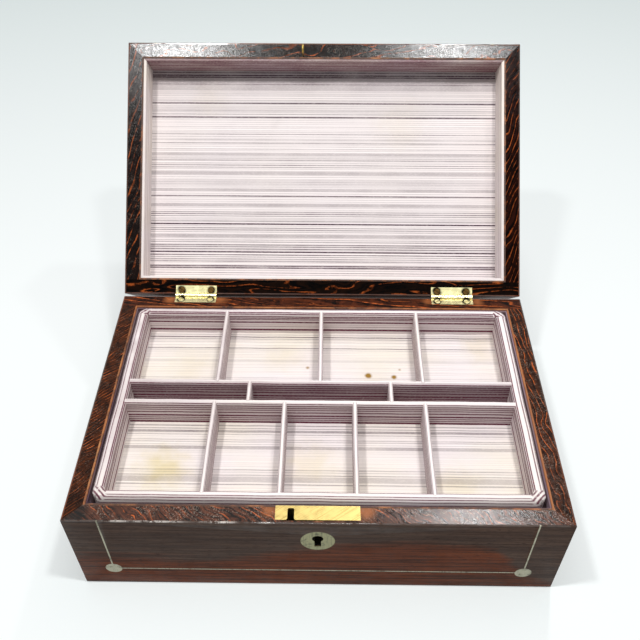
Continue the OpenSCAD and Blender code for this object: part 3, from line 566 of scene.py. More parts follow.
def metal(name, colour, tarnish, amount, roughness, on_lid=False, slope=-35, rings=()):
    """Cast or rolled metal worn by use: its own colour, tarnish in soft patches, and scratches that are noise
    stretched along one way and turned aslant."""
    material, tree, shader = new_material(name)
    at = coordinates(tree, on_lid)
    low, high = 0.62 - amount * 0.3, 0.8 - amount * 0.3
    dark = patches(tree, grain(tree, at, (5, 5, 5), 5, 0.65, 0.4), low, high)
    dark = add(tree, "ShaderNodeMath", {0: dark, 1: 0.85}, operation="MULTIPLY")
    aslant = add(tree, "ShaderNodeMapping", {"Vector": at, "Rotation": (0, 0, radians(slope))}).outputs[0]
    scratches = patches(tree, grain(tree, aslant, (16, 0.45, 16), 2), 0.52, 0.68, 0.0, 0.5)
    ringed = spots(tree, at, rings)
    layers = [(scratches, linear(tarnish)), (dark, linear(tarnish)), (ringed, linear("#1d160c"))]
    dull = patches(tree, grain(tree, at, (3, 3, 3), 4), 0.3, 0.7, roughness - 0.08, roughness + 0.12)
    feeds = {"Height": scratches, "Strength": 0.3, "Distance": 0.00008}
    bump = add(tree, "ShaderNodeBump", feeds, invert=True)
    colour = coats(tree, colour, *layers)
    feed(shader, {"Base Color": colour, "Metallic": 1.0, "Roughness": dull, "Normal": bump})
    return material


def direct_view(tree):
    """1 for rays that show a surface, straight, mirrored or through glass, and 0 for those that only carry light."""
    seen = add(tree, "ShaderNodeLightPath").outputs
    direct = add(tree, "ShaderNodeMath", {0: seen["Is Camera Ray"], 1: seen["Is Glossy Ray"]}, operation="MAXIMUM")
    return add(tree, "ShaderNodeMath", {0: direct, 1: seen["Is Transmission Ray"]}, operation="MAXIMUM")


def paint(material, *nodes):
    """Gives CAD nodes, whose shape stays, their material."""
    for node in nodes:
        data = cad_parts[node].data
        data.materials.clear()
        data.materials.append(material)


# Lines of the lining paper, each (distance, width, strength): from the top's middle on walls and dividers, from the
# lower edge on the lid's strips, from the tray's middle on its floor and from the hinge's side on the lid's panel

WALL_LINES = [
    (1.7, 0.7, 0.4), (2.9, 0.7, 0.42), (5.3, 0.9, 0.46), (6.8, 0.85, 0.44), (8.3, 0.85, 0.42),
    (11.1, 1.3, 0.9), (13.7, 0.5, 0.14), (15.8, 0.55, 0.2), (19.0, 1.7, 0.9),
]  # fmt: skip
# Lines of the walls' outer faces, printed weaker than inside: painted light, so that the outer faces, which little
# light reaches, look bright
OUTSIDE_LINES = [
    (1.2, 0.5, 0.26), (2.7, 0.55, 0.3), (4.6, 0.6, 0.32), (7.2, 0.6, 0.3), (10.0, 0.6, 0.3), (14.0, 0.8, 0.4),
]  # fmt: skip
# The last line lies at the divider's foot: painted shade in the crease along the floor
LONG_DIVIDER_LINES = [
    (2.1, 0.6, 0.3), (4.1, 0.75, 0.42), (6.2, 0.75, 0.42), (8.2, 0.7, 0.36), (10.8, 0.9, 0.5),
    (14.2, 1.3, 0.9), (16.6, 0.75, 0.42), (18.6, 0.7, 0.36), (21.0, 1.6, 0.95),
]  # fmt: skip
# The last line lies at the divider's foot: painted shade in the crease along the floor
DIVIDER_LINES = [
    (1.05, 0.4, 0.2), (2.3, 0.8, 0.36), (6.3, 0.65, 0.42), (8.4, 0.6, 0.38), (9.9, 0.5, 0.2), (11.5, 0.75, 0.44),
    (13.4, 0.6, 0.34), (15.3, 0.8, 0.46), (16.8, 0.5, 0.2), (18.1, 0.6, 0.36), (21.0, 1.2, 0.8),
]  # fmt: skip
STRIP_LINES = [
    (1.6, 0.8, 0.2), (4.4, 1.0, 0.34), (7.4, 0.5, 0.16), (10.0, 1.1, 0.36), (13.0, 0.6, 0.2),
    (15.8, 1.1, 0.36), (19.5, 1.0, 0.34),
]  # fmt: skip
FLOOR_LINES = [
    (-11.9, 0.8, 0.32), (-14.3, 0.7, 0.27), (-16.7, 2.0, 0.28), (-19.4, 0.7, 0.24), (-21.2, 0.65, 0.13),
    (-23.7, 0.7, 0.26), (-25.2, 0.7, 0.24), (-27.4, 0.65, 0.17), (-30.0, 2.8, 0.23), (-33.0, 0.6, 0.07),
    (-36.4, 0.65, 0.09), (-39.2, 0.6, 0.06), (-42.1, 0.6, 0.06), (-44.8, 0.6, 0.07), (-47.4, 0.75, 0.25),
    (-49.1, 0.65, 0.18), (-51.4, 0.75, 0.25), (-54.6, 4.2, 0.19), (-58.3, 0.8, 0.28), (-61.0, 0.6, 0.08),
    (-65.0, 0.6, 0.06), (-69.2, 0.75, 0.18), (-72.6, 0.65, 0.12),
    (-3.5, 0.75, 0.3), (-0.5, 0.95, 0.4), (2.6, 0.75, 0.3), (5.2, 0.85, 0.35),
    (14.5, 0.65, 0.12), (17.2, 0.65, 0.1), (20.1, 0.65, 0.12), (23.4, 0.65, 0.1), (26.2, 0.65, 0.12),
    (29.0, 0.75, 0.14), (31.0, 0.75, 0.16), (36.4, 0.65, 0.08), (41.2, 0.65, 0.1), (47.5, 2.4, 0.11),
    (51.0, 0.65, 0.1), (55.3, 0.65, 0.1), (58.2, 0.75, 0.15), (60.2, 0.95, 0.32), (63.0, 0.65, 0.12),
    (66.4, 0.75, 0.16), (69.5, 0.85, 0.22), (71.6, 1.1, 0.36), (74.0, 0.65, 0.2),
]  # fmt: skip
PANEL_LINES = [
    (16.8, 0.75, 0.2), (18.5, 0.75, 0.25), (20.5, 0.65, 0.16), (22.4, 0.95, 0.42), (23.9, 0.95, 0.4),
    (27.5, 0.75, 0.28), (29.4, 0.75, 0.26), (31.0, 0.75, 0.24), (32.7, 0.85, 0.36), (35.0, 1.1, 0.48),
    (37.3, 0.75, 0.34), (39.0, 0.75, 0.34), (40.6, 0.75, 0.36), (42.9, 0.75, 0.26), (44.5, 0.65, 0.2),
    (47.6, 2.6, 0.19), (50.8, 0.65, 0.18), (52.4, 0.75, 0.26), (54.0, 0.75, 0.26), (57.2, 1.1, 0.55),
    (59.5, 0.75, 0.24), (61.2, 0.65, 0.12), (63.5, 0.75, 0.26), (65.1, 0.75, 0.32), (66.7, 0.75, 0.26),
    (72.2, 2.6, 0.18), (79.4, 0.95, 0.36), (84.2, 2.6, 0.17), (88.9, 0.65, 0.17), (90.5, 0.65, 0.2),
    (92.1, 0.65, 0.14), (94.5, 0.65, 0.14), (97.6, 2.6, 0.18), (102.4, 0.75, 0.24), (104.0, 0.75, 0.28),
    (105.7, 0.65, 0.17), (108.0, 0.75, 0.26), (109.6, 0.65, 0.17), (112.7, 2.2, 0.17), (116.7, 0.65, 0.15),
    (121.6, 0.75, 0.25), (124.4, 0.65, 0.2), (126.8, 0.65, 0.14), (128.7, 0.75, 0.26), (134.5, 0.65, 0.1),
    (138.3, 0.65, 0.1), (142.3, 0.95, 0.42), (144.7, 0.75, 0.22), (147.5, 0.65, 0.17), (153.5, 0.95, 0.4),
    (155.5, 0.65, 0.16), (160.0, 0.65, 0.1), (165.1, 2.8, 0.17), (168.7, 0.75, 0.3), (170.3, 0.75, 0.26),
    (172.3, 0.65, 0.16), (174.3, 0.95, 0.4), (175.8, 0.95, 0.42), (178.0, 0.85, 0.36), (180.0, 0.95, 0.45),
]  # fmt: skip

# Facings of the rims: slant and pitch of their bright lines, the length of the swirls and how far they bend the lines,
# the wood's two tones, how broken the lines are, and marks of (x, y, z, radius, strength)

FACINGS = {
    "front_rim": {
        "slant": (0.5, 0.62), "pitch": 2.8, "loops": 7.0, "swirl": (18, 14), "tones": ("#170c08", "#5c3424"),
        "broken": 0.46, "seed": 1.0, "gloss": 0.34, "dust_and_glints": 0.4,
        "bare": [(-29, -88, 74, 7, 0.7), (29.5, -88.5, 74, 8, 0.8), (0, -94.6, 74, 4, 0.5)],
        "holes": [(-143, -93, 74, 17, 0.8), (-120, -88, 74, 8, 0.4), (-4, -95.6, 74, 5, 0.6)],
    },
    "back_rim": {
        "slant": (0.08, 0.6), "pitch": 3.0, "loops": 6.0, "swirl": (50, 9), "tones": ("#0c0503", "#542612"),
        "broken": 0.4, "seed": 3.0,
        "bare": [(-114, 93, 74, 7, 0.7), (-77, 93, 74, 8, 0.6), (80, 93, 74, 6, 0.5), (117, 93, 74, 7, 0.6)],
    },
    "left_rim": {
        "slant": (-0.66, 0.74), "pitch": 2.2, "loops": 6.0, "swirl": (24, 24), "tones": ("#100704", "#4e2610"),
        "broken": 0.46, "seed": 2.0, "dust_and_glints": 0.1,
        "holes": [(-147, -84, 74, 15, 0.7), (-143, -60, 74, 9, 0.4)],
    },
    "right_rim": {
        "slant": (0.8, 0.1), "pitch": 2.8, "loops": 7.0, "swirl": (14, 26), "tones": ("#120906", "#482615"),
        "broken": 0.38, "seed": 4.0, "dust_and_glints": 0.25,
    },
    "lid_left_rim": {
        "slant": (0.8, 0.25), "pitch": 3.8, "loops": 6.0, "swirl": (20, 46), "tones": ("#040202", "#1c0c07"),
        "broken": 0.42, "seed": 6.0, "gloss": 0.08, "dust_and_glints": 0.12,
    },
    "lid_right_rim": {
        "slant": (0.8, 0.4), "pitch": 3.6, "loops": 7.0, "swirl": (18, 40), "tones": ("#030101", "#260c05"),
        "broken": 0.4, "seed": 8.0, "gloss": 0.03,
    },
    "lid_front_rim": {
        "slant": (0.1, 0.5), "pitch": 4.0, "loops": 8.0, "swirl": (30, 12), "tones": ("#040202", "#1c0c07"),
        "broken": 0.42, "seed": 9.0, "gloss": 0.24, "dust_and_glints": 0.2,
        "holes": [(-15.8, -89.8, 74.3, 4.5, 1.0), (98, -85.6, 74.3, 2.4, 1.6), (103, -85.2, 74.3, 1.8, 1.4)],
    },
    "lid_back_rim": {
        "slant": (0.05, 0.5), "pitch": 3.6, "loops": 8.0, "swirl": (40, 10), "tones": ("#030202", "#160904"),
        "broken": 0.4, "seed": 11.0, "gloss": 0.03,
    },
}  # fmt: skip


# Operators, one for each piece or group of like pieces. There x, y and z are views: what changes them moves the points


class ROSEWOOD_OT_tray_floor(Operator):
    """Papers the tray's floor: a flat profile across the tray, fine at each printed line, carried from side to side,
    its top rippled a little"""

    bl_idname = "rosewood.tray_floor"
    bl_label = "Tray Floor"

    def execute(self, context):
        settings = context.scene.rosewood_paper
        at = ruled(-TRAY_Y, TRAY_Y, FLOOR_LINES)
        top, foot = np.stack([at, TRAY_FLOOR + 0 * at], -1), [(TRAY_Y, TRAY_FOOT), (-TRAY_Y, TRAY_FOOT)]
        points = round_cornered(carried(np.concatenate([top, foot]), -TRAY_X, TRAY_X, tips=TRAY_CORNER))
        x, y, z = np.moveaxis(points, -1, 0)
        z += (z > TRAY_FLOOR - 1) * settings.ripple * 1000 * (ripple(x, y, 34, 3) - 1)
        ink = np.append(printed(at, FLOOR_LINES), (0, 0))
        stains = [
            (-6, -42, 56, 26, 0.45), (88, -58, 56, 22, 0.4), (-95, 40, 56, 26, 0.3), (-28, 52, 56, 22, 0.3),
            (118, 62, 56, 20, 0.4), (-100, -46, 56, 24, 0.9), (40, 30, 56, 20, 0.25),
        ]  # fmt: skip
        foxing = [(34.5, 34, 56, 3.4, 1.5), (52.5, 33, 56, 2.9, 1.5), (-9.5, 41, 56, 2.0, 0.9), (57, 40, 56, 1.6, 0.7)]
        name = "Printed lining paper, tray floor"
        material = lining_paper(name, settings, False, 1, stains, foxing, 0.34, 1.05, 0.07)
        papered("tray_floor_papered", [(points, ink)], "tray", material, ["tray_floor"])
        return {"FINISHED"}


class ROSEWOOD_OT_tray_walls(Operator):
    """Builds the tray's four outer walls: a card profile with a half round top carried along each side and mitred at
    the corners, where start and end shift with the distance from the outside"""

    bl_idname = "rosewood.tray_walls"
    bl_label = "Tray Walls"

    def execute(self, context):
        settings = context.scene.rosewood_paper
        material = lining_paper("Printed lining paper, tray walls", settings, False, 2, (), (), 0.15, 1.8)
        profile, ink = round_topped(WALL, TRAY_TOP, WALL_LINES, 0.04, OUTSIDE_LINES)
        outside = profile[:, 0] < -0.5
        lean = settings.ripple * 1000
        walls = {}
        for name, middle, reach, turned in (
            ("tray_front_wall", WALL / 2 - TRAY_Y, TRAY_X, False),
            ("tray_back_wall", TRAY_Y - WALL / 2, TRAY_X, False),
            ("left", WALL / 2 - TRAY_X, TRAY_Y, True),
            ("right", TRAY_X - WALL / 2, TRAY_Y, True),
        ):
            inward = -np.sign(middle)
            short = WALL / 2 + profile[:, 0]
            points = carried(profile * (inward, 1) + (middle, 0), -reach + short, reach - short, tips=6.0)
            x, y, z = np.moveaxis(points, -1, 0)
            free = np.clip((z - TRAY_FLOOR - 2) / 10, 0, 1)
            y += inward * lean * free * (1 + ripple(x, z, 60, 5))
            z -= lean * free * (1 + ripple(x, y, 25, 8)) * (z > 70)
            if name == "tray_front_wall":
                # The paper stands off towards the foot, so that light reaches it
                y -= outside[:, None] * 0.8 * np.clip((75.5 - z) / 4.5, 0, 1)
            points = round_cornered(crosswise(points) if turned else points)
            x, y, z = np.moveaxis(points, -1, 0)
            # The paper of the end walls stands off their card on the outside
            bulge = np.clip((abs(x) - TRAY_X + 2.8) / 2.8, 0, 1)
            x += np.where(x < 0, -1.5, 1.9) * bulge * turned
            # At a corner the paper is folded over, so its lines run across the mitre
            off_x, off_y = TRAY_X - abs(x), TRAY_Y - abs(y)
            folded = (off_x < 7.5) & (off_y < 7.5) & (z > TRAY_TOP - 3.5)
            stripes = 0.3 * np.clip(1.6 * np.sin(2 * pi * (off_x + off_y) / 3.4), 0, 1)
            walls[name] = (points, np.where(folded, stripes, ink[:, None]))
        for name in ("tray_front_wall", "tray_back_wall"):
            papered(name + "_papered", [walls[name]], "tray", material, [name])
        ends = [walls["left"], walls["right"]]
        papered("tray_end_walls_papered", ends, "tray", material, ["tray_end_walls"])
        return {"FINISHED"}


class ROSEWOOD_OT_tray_dividers(Operator):
    """Builds the tray's two long dividers and nine short ones: round topped card profiles carried from wall to wall,
    the short ones rounded where they meet the long ones"""

    bl_idname = "rosewood.tray_dividers"
    bl_label = "Tray Dividers"

    def execute(self, context):
        settings = context.scene.rosewood_paper
        material = lining_paper("Printed lining paper, tray dividers", settings, False, 2, (), (), 0.15, 1.8)
        lean = settings.ripple * 1000
        profile, ink = round_topped(LONG_DIVIDER, TRAY_TOP - 0.1, LONG_DIVIDER_LINES, 0.08)
        parts = []
        for seed, (middle, dusk) in enumerate(((10, 0.1), (-7.5, 0.0))):
            points = carried(profile + (middle, 0), -129, 129)
            x, y, z = np.moveaxis(points, -1, 0)
            free = np.clip((z - TRAY_FLOOR - 2) / 10, 0, 1)
            y += 0.7 * lean * free * ripple(x, z, 90, seed + 20)
            z -= lean * free * (1 + ripple(x, y, 30, seed + 30))
            # The narrow compartments lie between the two, and the dividers' faces towards them are inked darker:
            # painted shade
            parts.append((points, np.clip(ink + dusk * (profile[:, 0] < 0), 0, 1)))
        papered("tray_long_dividers_papered", parts, "tray", material, ["tray_long_dividers"])
        # Each row's places along the tray, and the faces between which it stands
        groups = (
            ("rear_dividers", (-69.5, 0, 69.5), 9.6, 78.2),
            ("narrow_dividers", (-47.5, 47.5), -7.4, 9.9),
            ("front_dividers", (-69.5, -23.17, 23.17, 69.5), -78.2, -7.2),
        )
        profile, ink = round_topped(SHORT_DIVIDER, TRAY_TOP, DIVIDER_LINES, 0.04)
        r = SHORT_DIVIDER / 2
        round_end = r - np.sqrt(np.clip(r**2 - profile[:, 0] ** 2, 0, None))
        for group, (name, middles, low, high) in enumerate(groups):
            parts = []
            for seed, middle in enumerate(middles):
                points = carried(profile + (middle, 0), low + round_end, high - round_end, 2.0, 3.0)
                x, y, z = np.moveaxis(points, -1, 0)
                share = (x - low) / (high - low)
                bow = 6 * share * (1 - share) * lean
                y += bow * ripple(x, z / 2, 70, 40 + 7 * group + seed)
                z -= bow * (1 + ripple(x, 0, 50, seed + group)) * (z > 70)
                parts.append((crosswise(points), ink))
            papered(name + "_papered", parts, "tray", material, [name])
        return {"FINISHED"}


class ROSEWOOD_OT_lid_lining(Operator):
    """Lines the lid: a rippled panel whose profile across the lid is fine at each printed line, and four round edged
    strips mitred round the recess, all turned back with the lid"""

    bl_idname = "rosewood.lid_lining"
    bl_label = "Lid Lining"

    def execute(self, context):
        settings = context.scene.rosewood_paper
        lines = [(BODY_Y - distance, width, strength) for distance, width, strength in PANEL_LINES]
        at = ruled(-PANEL_Y, PANEL_Y, lines)
        face, back = np.stack([at, PANEL_FACE + 0 * at], -1), [(PANEL_Y, PANEL_BACK), (-PANEL_Y, PANEL_BACK)]
        points = carried(np.concatenate([face, back]), -PANEL_X, PANEL_X)
        x, y, z = np.moveaxis(points, -1, 0)
        z += (z < PANEL_FACE + 0.4) * settings.ripple * 1000 * (1 + ripple(x, y, 40, 11))
        stains = [(60, -40, PANEL_FACE, 30, 0.15), (-90, -60, PANEL_FACE, 22, 0.15)]
        panel = lining_paper("Printed lining paper, lid panel", settings, True, 1, stains, (), 0.06, 1.2, 0.14)
        # Painted shadow: ink darkens the panel along the strip by the lock, where that strip's shadow falls
        grime_and_painted_shadow = 0.2 * np.clip((-64 - at) / 8, 0, 1)
        ink = np.append(np.maximum(printed(at, lines), grime_and_painted_shadow), (0, 0))
        papered("lid_panel_papered", [(swung(points), ink)], "lid", panel, ["lid_panel"])
        material = lining_paper("Printed lining paper, lid strips", settings, True, 2, (), (), 0.3, 0.85)
        up = ruled(0, STRIP_HEIGHT, STRIP_LINES)
        up = up[up > STRIP_ROUND]
        bend = np.linspace(0, pi / 2, 5)
        # Round lower edge, then the face up to the panel, then straight back and down again
        edge = STRIP_ROUND - STRIP_ROUND * np.stack([np.sin(bend), np.cos(bend)], -1)
        back = [(STRIP_THICK, STRIP_HEIGHT), (STRIP_THICK, 0)]
        profile = np.concatenate([edge, np.stack([0 * up, up], -1), back])
        tint = np.concatenate([np.full(5, 0.06), 0.03 + 0.85 * printed(up, STRIP_LINES), (0, 0)])
        parts = []
        # The front strip is inked darker all over: painted shade
        for side, inner, reach, turned, dusk in (
            (-1, STRIP_Y, PANEL_X, False, 0.38),
            (1, STRIP_Y, PANEL_X, False, 0.0),
            (-1, STRIP_X, PANEL_Y, True, 0.0),
            (1, STRIP_X, PANEL_Y, True, 0.0),
        ):
            strip = np.stack([side * (inner + profile[:, 0]), STRIP_FOOT + profile[:, 1]], -1)
            short = STRIP_THICK - profile[:, 0]
            points = carried(strip, -reach + short, reach - short)
            x, y, z = np.moveaxis(points, -1, 0)
            y += side * 0.1 * (1 + ripple(x, z, 45, 60)) * (profile[:, 0] < 1)[:, None]
            parts.append((swung(crosswise(points) if turned else points), np.minimum(tint + dusk, 1)))
        papered("lid_lining_strips_papered", parts, "lid", material, ["lid_lining_strips"])
        return {"FINISHED"}


class ROSEWOOD_OT_well_lining(Operator):
    """Finishes the papered ledges and cards of the well under the tray, its floor and the paper under the base"""

    bl_idname = "rosewood.well_lining"
    bl_label = "Well Lining"

    def execute(self, context):
        settings = context.scene.rosewood_paper
        paint(card_paper("Lilac paper on card", settings), "tray_ledges", "wall_lining")
        paint(card_paper("Printed lining paper, well floor", settings, 1), "well_paper")
        paint(base_paper("Blue-grey base paper"), "base_cover")
        return {"FINISHED"}


class ROSEWOOD_OT_veneers(Operator):
    """Finishes the outside of the box and lid in rosewood, on copies whose outer arrises are rounded by wear"""

    bl_idname = "rosewood.veneers"
    bl_label = "Veneers"

    def execute(self, context):
        settings = context.scene.rosewood_wood
        border = [(-150, 34), (-100, 32), (-60, 26), (0, 50), (70, 56), (108, 52), (128, 14), (150, 4)]
        # Painted highlight: marks for a broken pale line along the front's upper arris
        painted_arris_glints = [
            (-116, -BODY_Y, BODY_TOP, 11, 0.8), (-94, -BODY_Y, BODY_TOP, 20, 1.2), (-57, -BODY_Y, BODY_TOP, 14, 1.1),
            (-30, -BODY_Y, BODY_TOP, 6, 0.5),
        ]  # fmt: skip
        for look, along, seed, marks, nodes in (
            ("front", 0, 0.0, {"border": border, "painted_arris_glints": painted_arris_glints}, ["front_veneer"]),
            ("back", 0, 5.0, {}, ["back_veneer"]),
            ("sides", 1, 3.0, {}, ["side_veneers"]),
            ("lid front and back", 0, 7.0, {}, ["lid_front_veneer", "lid_back_veneer"]),
            ("lid sides", 1, 8.0, {}, ["lid_side_veneers"]),
            ("lid top", 0, 9.0, {}, ["lid_top_veneer"]),
        ):
            on_lid = look.startswith("lid")
            material = rosewood("Rosewood veneer, " + look, settings, along, on_lid, seed, **marks)
            for node in nodes:
                worn(node, material, "lid" if on_lid else "body", settings.wear, on_lid)
        return {"FINISHED"}


class ROSEWOOD_OT_rims(Operator):
    """Finishes the dark facings of both rims, each side with its own run of bright lines, and the bare wood of the
    boards"""

    bl_idname = "rosewood.rims"
    bl_label = "Rims and Boards"

    def execute(self, context):
        settings = context.scene.rosewood_wood
        for node, look in FACINGS.items():
            side = node.removesuffix("_rim").replace("_", " ")
            paint(figured_facing("Figured facing, " + side, settings, on_lid=side.startswith("lid"), **look), node)
        # Near-black marks round the keyhole: painted shade inside the keyhole
        keyhole = [(0, -95, 57, 16, 2.0), (0, -88, 52, 16, 2.0)]
        for boards, along, grime_and_painted_shadow, holes, nodes in (
            ("front board", 0, 0.95, keyhole, ["front_board"]),
            ("back board and base", 0, 0.55, (), ["back_board", "base_board"]),
            ("left board", 1, 0.5, (), ["left_board"]),
            ("right board", 1, 0.1, (), ["right_board"]),
            ("lid long boards", 0, 0.95, (), ["lid_front_board", "lid_back_board", "lid_top_board"]),
            ("lid short boards", 1, 1.0, (), ["lid_left_board", "lid_right_board"]),
        ):
            name = "Bare carcase wood, " + boards
            paint(bare_wood(name, settings, along, boards.startswith("lid"), grime_and_painted_shadow, holes), *nodes)
        return {"FINISHED"}


class ROSEWOOD_OT_inlay(Operator):
    """Finishes the inlaid lines and discs of the box and lid"""

    bl_idname = "rosewood.inlay"
    bl_label = "Inlay"

    def execute(self, context):
        colour = context.scene.rosewood_metal.inlay
        inlay = metal("White metal inlay", colour, "#4c4a3c", 0.35, 0.34)
        lid_inlay = metal("White metal inlay, lid", colour, "#4c4a3c", 0.35, 0.34, True)
        paint(inlay, "front_stringing", "front_roundels")
        paint(lid_inlay, "lid_stringing", "lid_roundels")
        return {"FINISHED"}


class ROSEWOOD_OT_hinges(Operator):
    """Finishes the brass leaves, pins and screws of both hinges"""

    bl_idname = "rosewood.hinges"
    bl_label = "Hinges"

    def execute(self, context):
        settings = context.scene.rosewood_metal
        screws = [(x + side * 11, 93.2, 74.2, 4.4, 2.6) for x in (-95.3, 98.4) for side in (-1, 1)]
        brass = metal("Lacquered brass, body leaves", settings.brass, "#a8843a", 0.0, 0.22, False, 5, screws)
        lid_brass = metal("Lacquered brass, lid leaves", settings.brass, "#a8843a", 0.0, 0.22, True, 5, screws)
        old = metal("Tarnished brass screws", settings.old_brass, "#2c2417", 0.4, 0.4, True)
        paint(brass, "left_hinge_leaf", "right_hinge_leaf", "hinge_pins")
        paint(metal("Brass screws", settings.brass, "#6d5424", 0.3, 0.3), "hinge_screws")
        paint(lid_brass, "left_lid_leaf", "right_lid_leaf")
        paint(old, "lid_hinge_screws")
        return {"FINISHED"}


class ROSEWOOD_OT_lock(Operator):
    """Finishes the lock's brass plate and case, its keyhole disc, bolt, spring, nails and the lid's staple"""

    bl_idname = "rosewood.lock"
    bl_label = "Lock"

    def execute(self, context):
        settings = context.scene.rosewood_metal
        plate = metal("Lacquered brass lock plate", linear("#d6bb76"), "#9a7234", 0.05, 0.36)
        disc = metal("Tarnished brass keyhole disc", linear("#8e8c6c"), "#4a4a3a", 0.35, 0.36)
        steel = metal("Old steel", settings.steel, "#4a3a2c", 0.3, 0.38)
        case = metal("Old brass lock case", linear("#3a3020"), "#14100c", 0.4, 0.5)
        paint(plate, "lock_plate", "lock_bolt")
        paint(case, "lock_case")
        paint(metal("Brass wire staple", linear("#b89a52"), "#3a2c18", 0.5, 0.35, True), "lock_staple")
        paint(disc, "escutcheon")
        paint(steel, "lock_drill_pin", "lock_spring", "lock_nails")
        return {"FINISHED"}


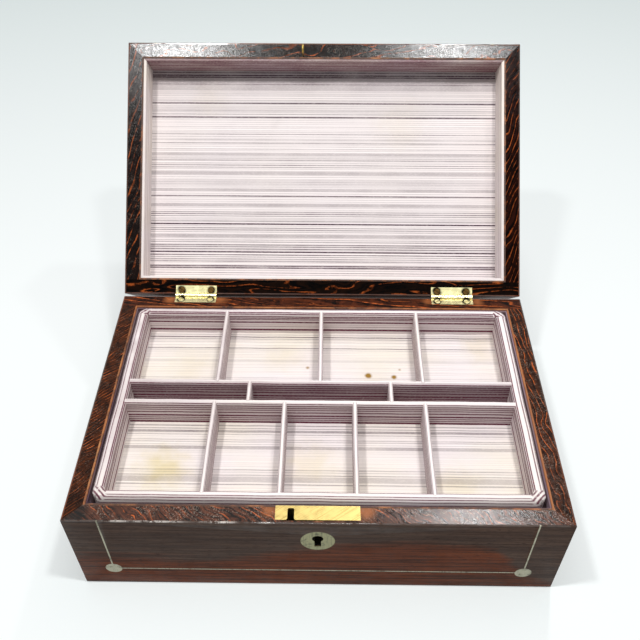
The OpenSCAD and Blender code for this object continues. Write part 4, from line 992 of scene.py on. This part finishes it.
class ROSEWOOD_OT_stage(Operator):
    """Lays a round pale floor, sets the even daylight, the soft lamps and the camera"""

    bl_idname = "rosewood.stage"
    bl_label = "Stage"

    def execute(self, context):
        settings = context.scene.rosewood_stage
        scene = context.scene
        # Floor: a disc, 0.2 mm under the base
        count, radius, below = 64, 3.5, 0.0002
        turn = np.linspace(0, 2 * pi, count, endpoint=False)
        corners = np.stack([radius * np.cos(turn), radius * np.sin(turn), 0 * turn - below], -1)
        mesh = bpy.data.meshes.new("floor")
        mesh.from_pydata(corners.tolist(), [], [list(range(count))])
        floor = bpy.data.objects.new("floor", mesh)
        scene.collection.objects.link(floor)
        material, tree, shader = new_material("Pale paper floor")
        at = coordinates(tree)
        y = add(tree, "ShaderNodeSeparateXYZ", {0: at}).outputs["Y"]
        # The glow fades from white near the box to grey-green far behind it: painted shade
        away = add(tree, "ShaderNodeMapRange", {"Value": y, "From Min": 150.0, "From Max": 1300.0})
        tone = add(tree, "ShaderNodeValToRGB", {0: away}, [(0.0, linear("#fcffff")), (1.0, linear("#cddbda"))])
        grit = grain(tree, at, (2, 2, 2), 4)
        bump = add(tree, "ShaderNodeBump", {"Height": grit, "Strength": 0.2, "Distance": 0.0002})
        feed(shader, {"Base Color": settings.floor, "Roughness": 0.9, "Normal": bump})
        # Where it is seen, the floor is white on its own account, and the lit part of it keeps the box's shadow
        glow = add(tree, "ShaderNodeEmission", {"Color": tone, "Strength": 1.0})
        # Less so close to the box and under its open lid: the share grows with the distance from that rectangle
        apart = at
        for operation, other in (
            ("SUBTRACT", (0, 66, 0)),
            ("ABSOLUTE", (0, 0, 0)),
            ("SUBTRACT", (146, 160, 10)),
            ("MAXIMUM", (0, 0, 0)),
        ):
            apart = add(tree, "ShaderNodeVectorMath", {0: apart, 1: other}, operation=operation)
        apart = add(tree, "ShaderNodeVectorMath", {0: apart}, operation="LENGTH").outputs["Value"]
        feeds = {"Value": apart, "From Min": 0.0, "From Max": 60.0, "To Min": 0.08, "To Max": 0.68}
        share = add(tree, "ShaderNodeMapRange", feeds, interpolation_type="SMOOTHSTEP")
        part = add(tree, "ShaderNodeMath", {0: direct_view(tree), 1: share}, operation="MULTIPLY")
        both = add(tree, "ShaderNodeMixShader", {0: part, 1: shader, 2: glow})
        feed(tree.nodes["Material Output"], {"Surface": both})
        mesh.materials.append(material)

        world = bpy.data.worlds.new("Daylight")
        world.use_nodes = True
        tree = world.node_tree
        tree.nodes.clear()
        even = add(tree, "ShaderNodeBackground", {"Color": linear("#fbfdff"), "Strength": settings.daylight})
        shown = add(tree, "ShaderNodeBackground", {"Color": linear("#eef5f4"), "Strength": 1.0})
        both = add(tree, "ShaderNodeMixShader", {0: direct_view(tree), 1: even, 2: shown})
        add(tree, "ShaderNodeOutputWorld", {"Surface": both})
        scene.world = world

        lamps = (
            ("Left_lamp", (-0.30, -0.16, 1.11), (0, 0.05, 0.1), 0.08, settings.lamp),
            ("Right_lamp", (0.24, -0.16, 1.11), (0, 0.05, 0.1), 0.08, settings.lamp * 0.8),
            ("Rear_lamp", (0.27, 0.42, 0.91), (0, 0.05, 0.07), 0.06, settings.lamp * 0.34),
        )
        for name, spot, aim, size, power in lamps:
            light = bpy.data.lights.new(name, "AREA")
            light.shape, light.size, light.energy = "DISK", size, power
            lamp = bpy.data.objects.new(name, light)
            lamp.location = spot
            lamp.rotation_euler = (Vector(aim) - Vector(spot)).to_track_quat("-Z", "Y").to_euler()
            scene.collection.objects.link(lamp)

        # Camera: stands 0.33 m in front and 0.47 m up, looks down by 44.5 degrees and a hair to the left
        lens = bpy.data.cameras.new("Camera")
        lens.lens, lens.sensor_width, lens.sensor_fit = 43.27, 36.0, "HORIZONTAL"
        camera = bpy.data.objects.new("Camera", lens)
        scene.collection.objects.link(camera)
        stand = (0.0053, -0.33148, 0.47055)
        ahead = Vector((-0.01097, 0.71318, -0.70090)).normalized()
        across = ahead.cross(Vector((0, 0, 1))).normalized()
        # A seventh of a degree about its own line of sight
        roll = Matrix.Rotation(0.00243513, 3, ahead)
        across, up = roll @ across, roll @ across.cross(ahead)
        turned = Matrix((across, up, -ahead)).transposed().to_4x4()
        camera.matrix_world = Matrix.Translation(stand) @ turned
        scene.camera = camera
        scene.view_settings.view_transform = "Standard"
        return {"FINISHED"}


PIECES = (
    ROSEWOOD_OT_tray_floor,
    ROSEWOOD_OT_tray_walls,
    ROSEWOOD_OT_tray_dividers,
    ROSEWOOD_OT_lid_lining,
    ROSEWOOD_OT_well_lining,
    ROSEWOOD_OT_veneers,
    ROSEWOOD_OT_rims,
    ROSEWOOD_OT_inlay,
    ROSEWOOD_OT_hinges,
    ROSEWOOD_OT_lock,
    ROSEWOOD_OT_stage,
)
SETTINGS = {
    "rosewood_paper": PaperSettings,
    "rosewood_wood": WoodSettings,
    "rosewood_metal": MetalSettings,
    "rosewood_stage": StageSettings,
}


class ROSEWOOD_PT_panel(Panel):
    """Lists the settings and the pieces in the order in which they are built"""

    bl_idname = "ROSEWOOD_PT_panel"
    bl_label = "Rosewood Box"
    bl_space_type = "VIEW_3D"
    bl_region_type = "UI"
    bl_category = "Rosewood Box"

    def draw(self, context):
        for name, group in SETTINGS.items():
            box = self.layout.box()
            for setting in group.__annotations__:
                box.prop(getattr(context.scene, name), setting)
        for piece in PIECES:
            self.layout.operator(piece.bl_idname)


def register():
    for group in SETTINGS.values():
        bpy.utils.register_class(group)
    for piece in (*PIECES, ROSEWOOD_PT_panel):
        bpy.utils.register_class(piece)
    for name, group in SETTINGS.items():
        setattr(bpy.types.Scene, name, PointerProperty(type=group))


def unregister():
    for name in SETTINGS:
        delattr(bpy.types.Scene, name)
    for piece in (ROSEWOOD_PT_panel, *reversed(PIECES)):
        bpy.utils.unregister_class(piece)
    for group in SETTINGS.values():
        bpy.utils.unregister_class(group)


def main():
    """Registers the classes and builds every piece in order."""
    register()
    for piece in PIECES:
        group, name = piece.bl_idname.split(".")
        getattr(getattr(bpy.ops, group), name)()


if __name__ == "__main__":
    main()
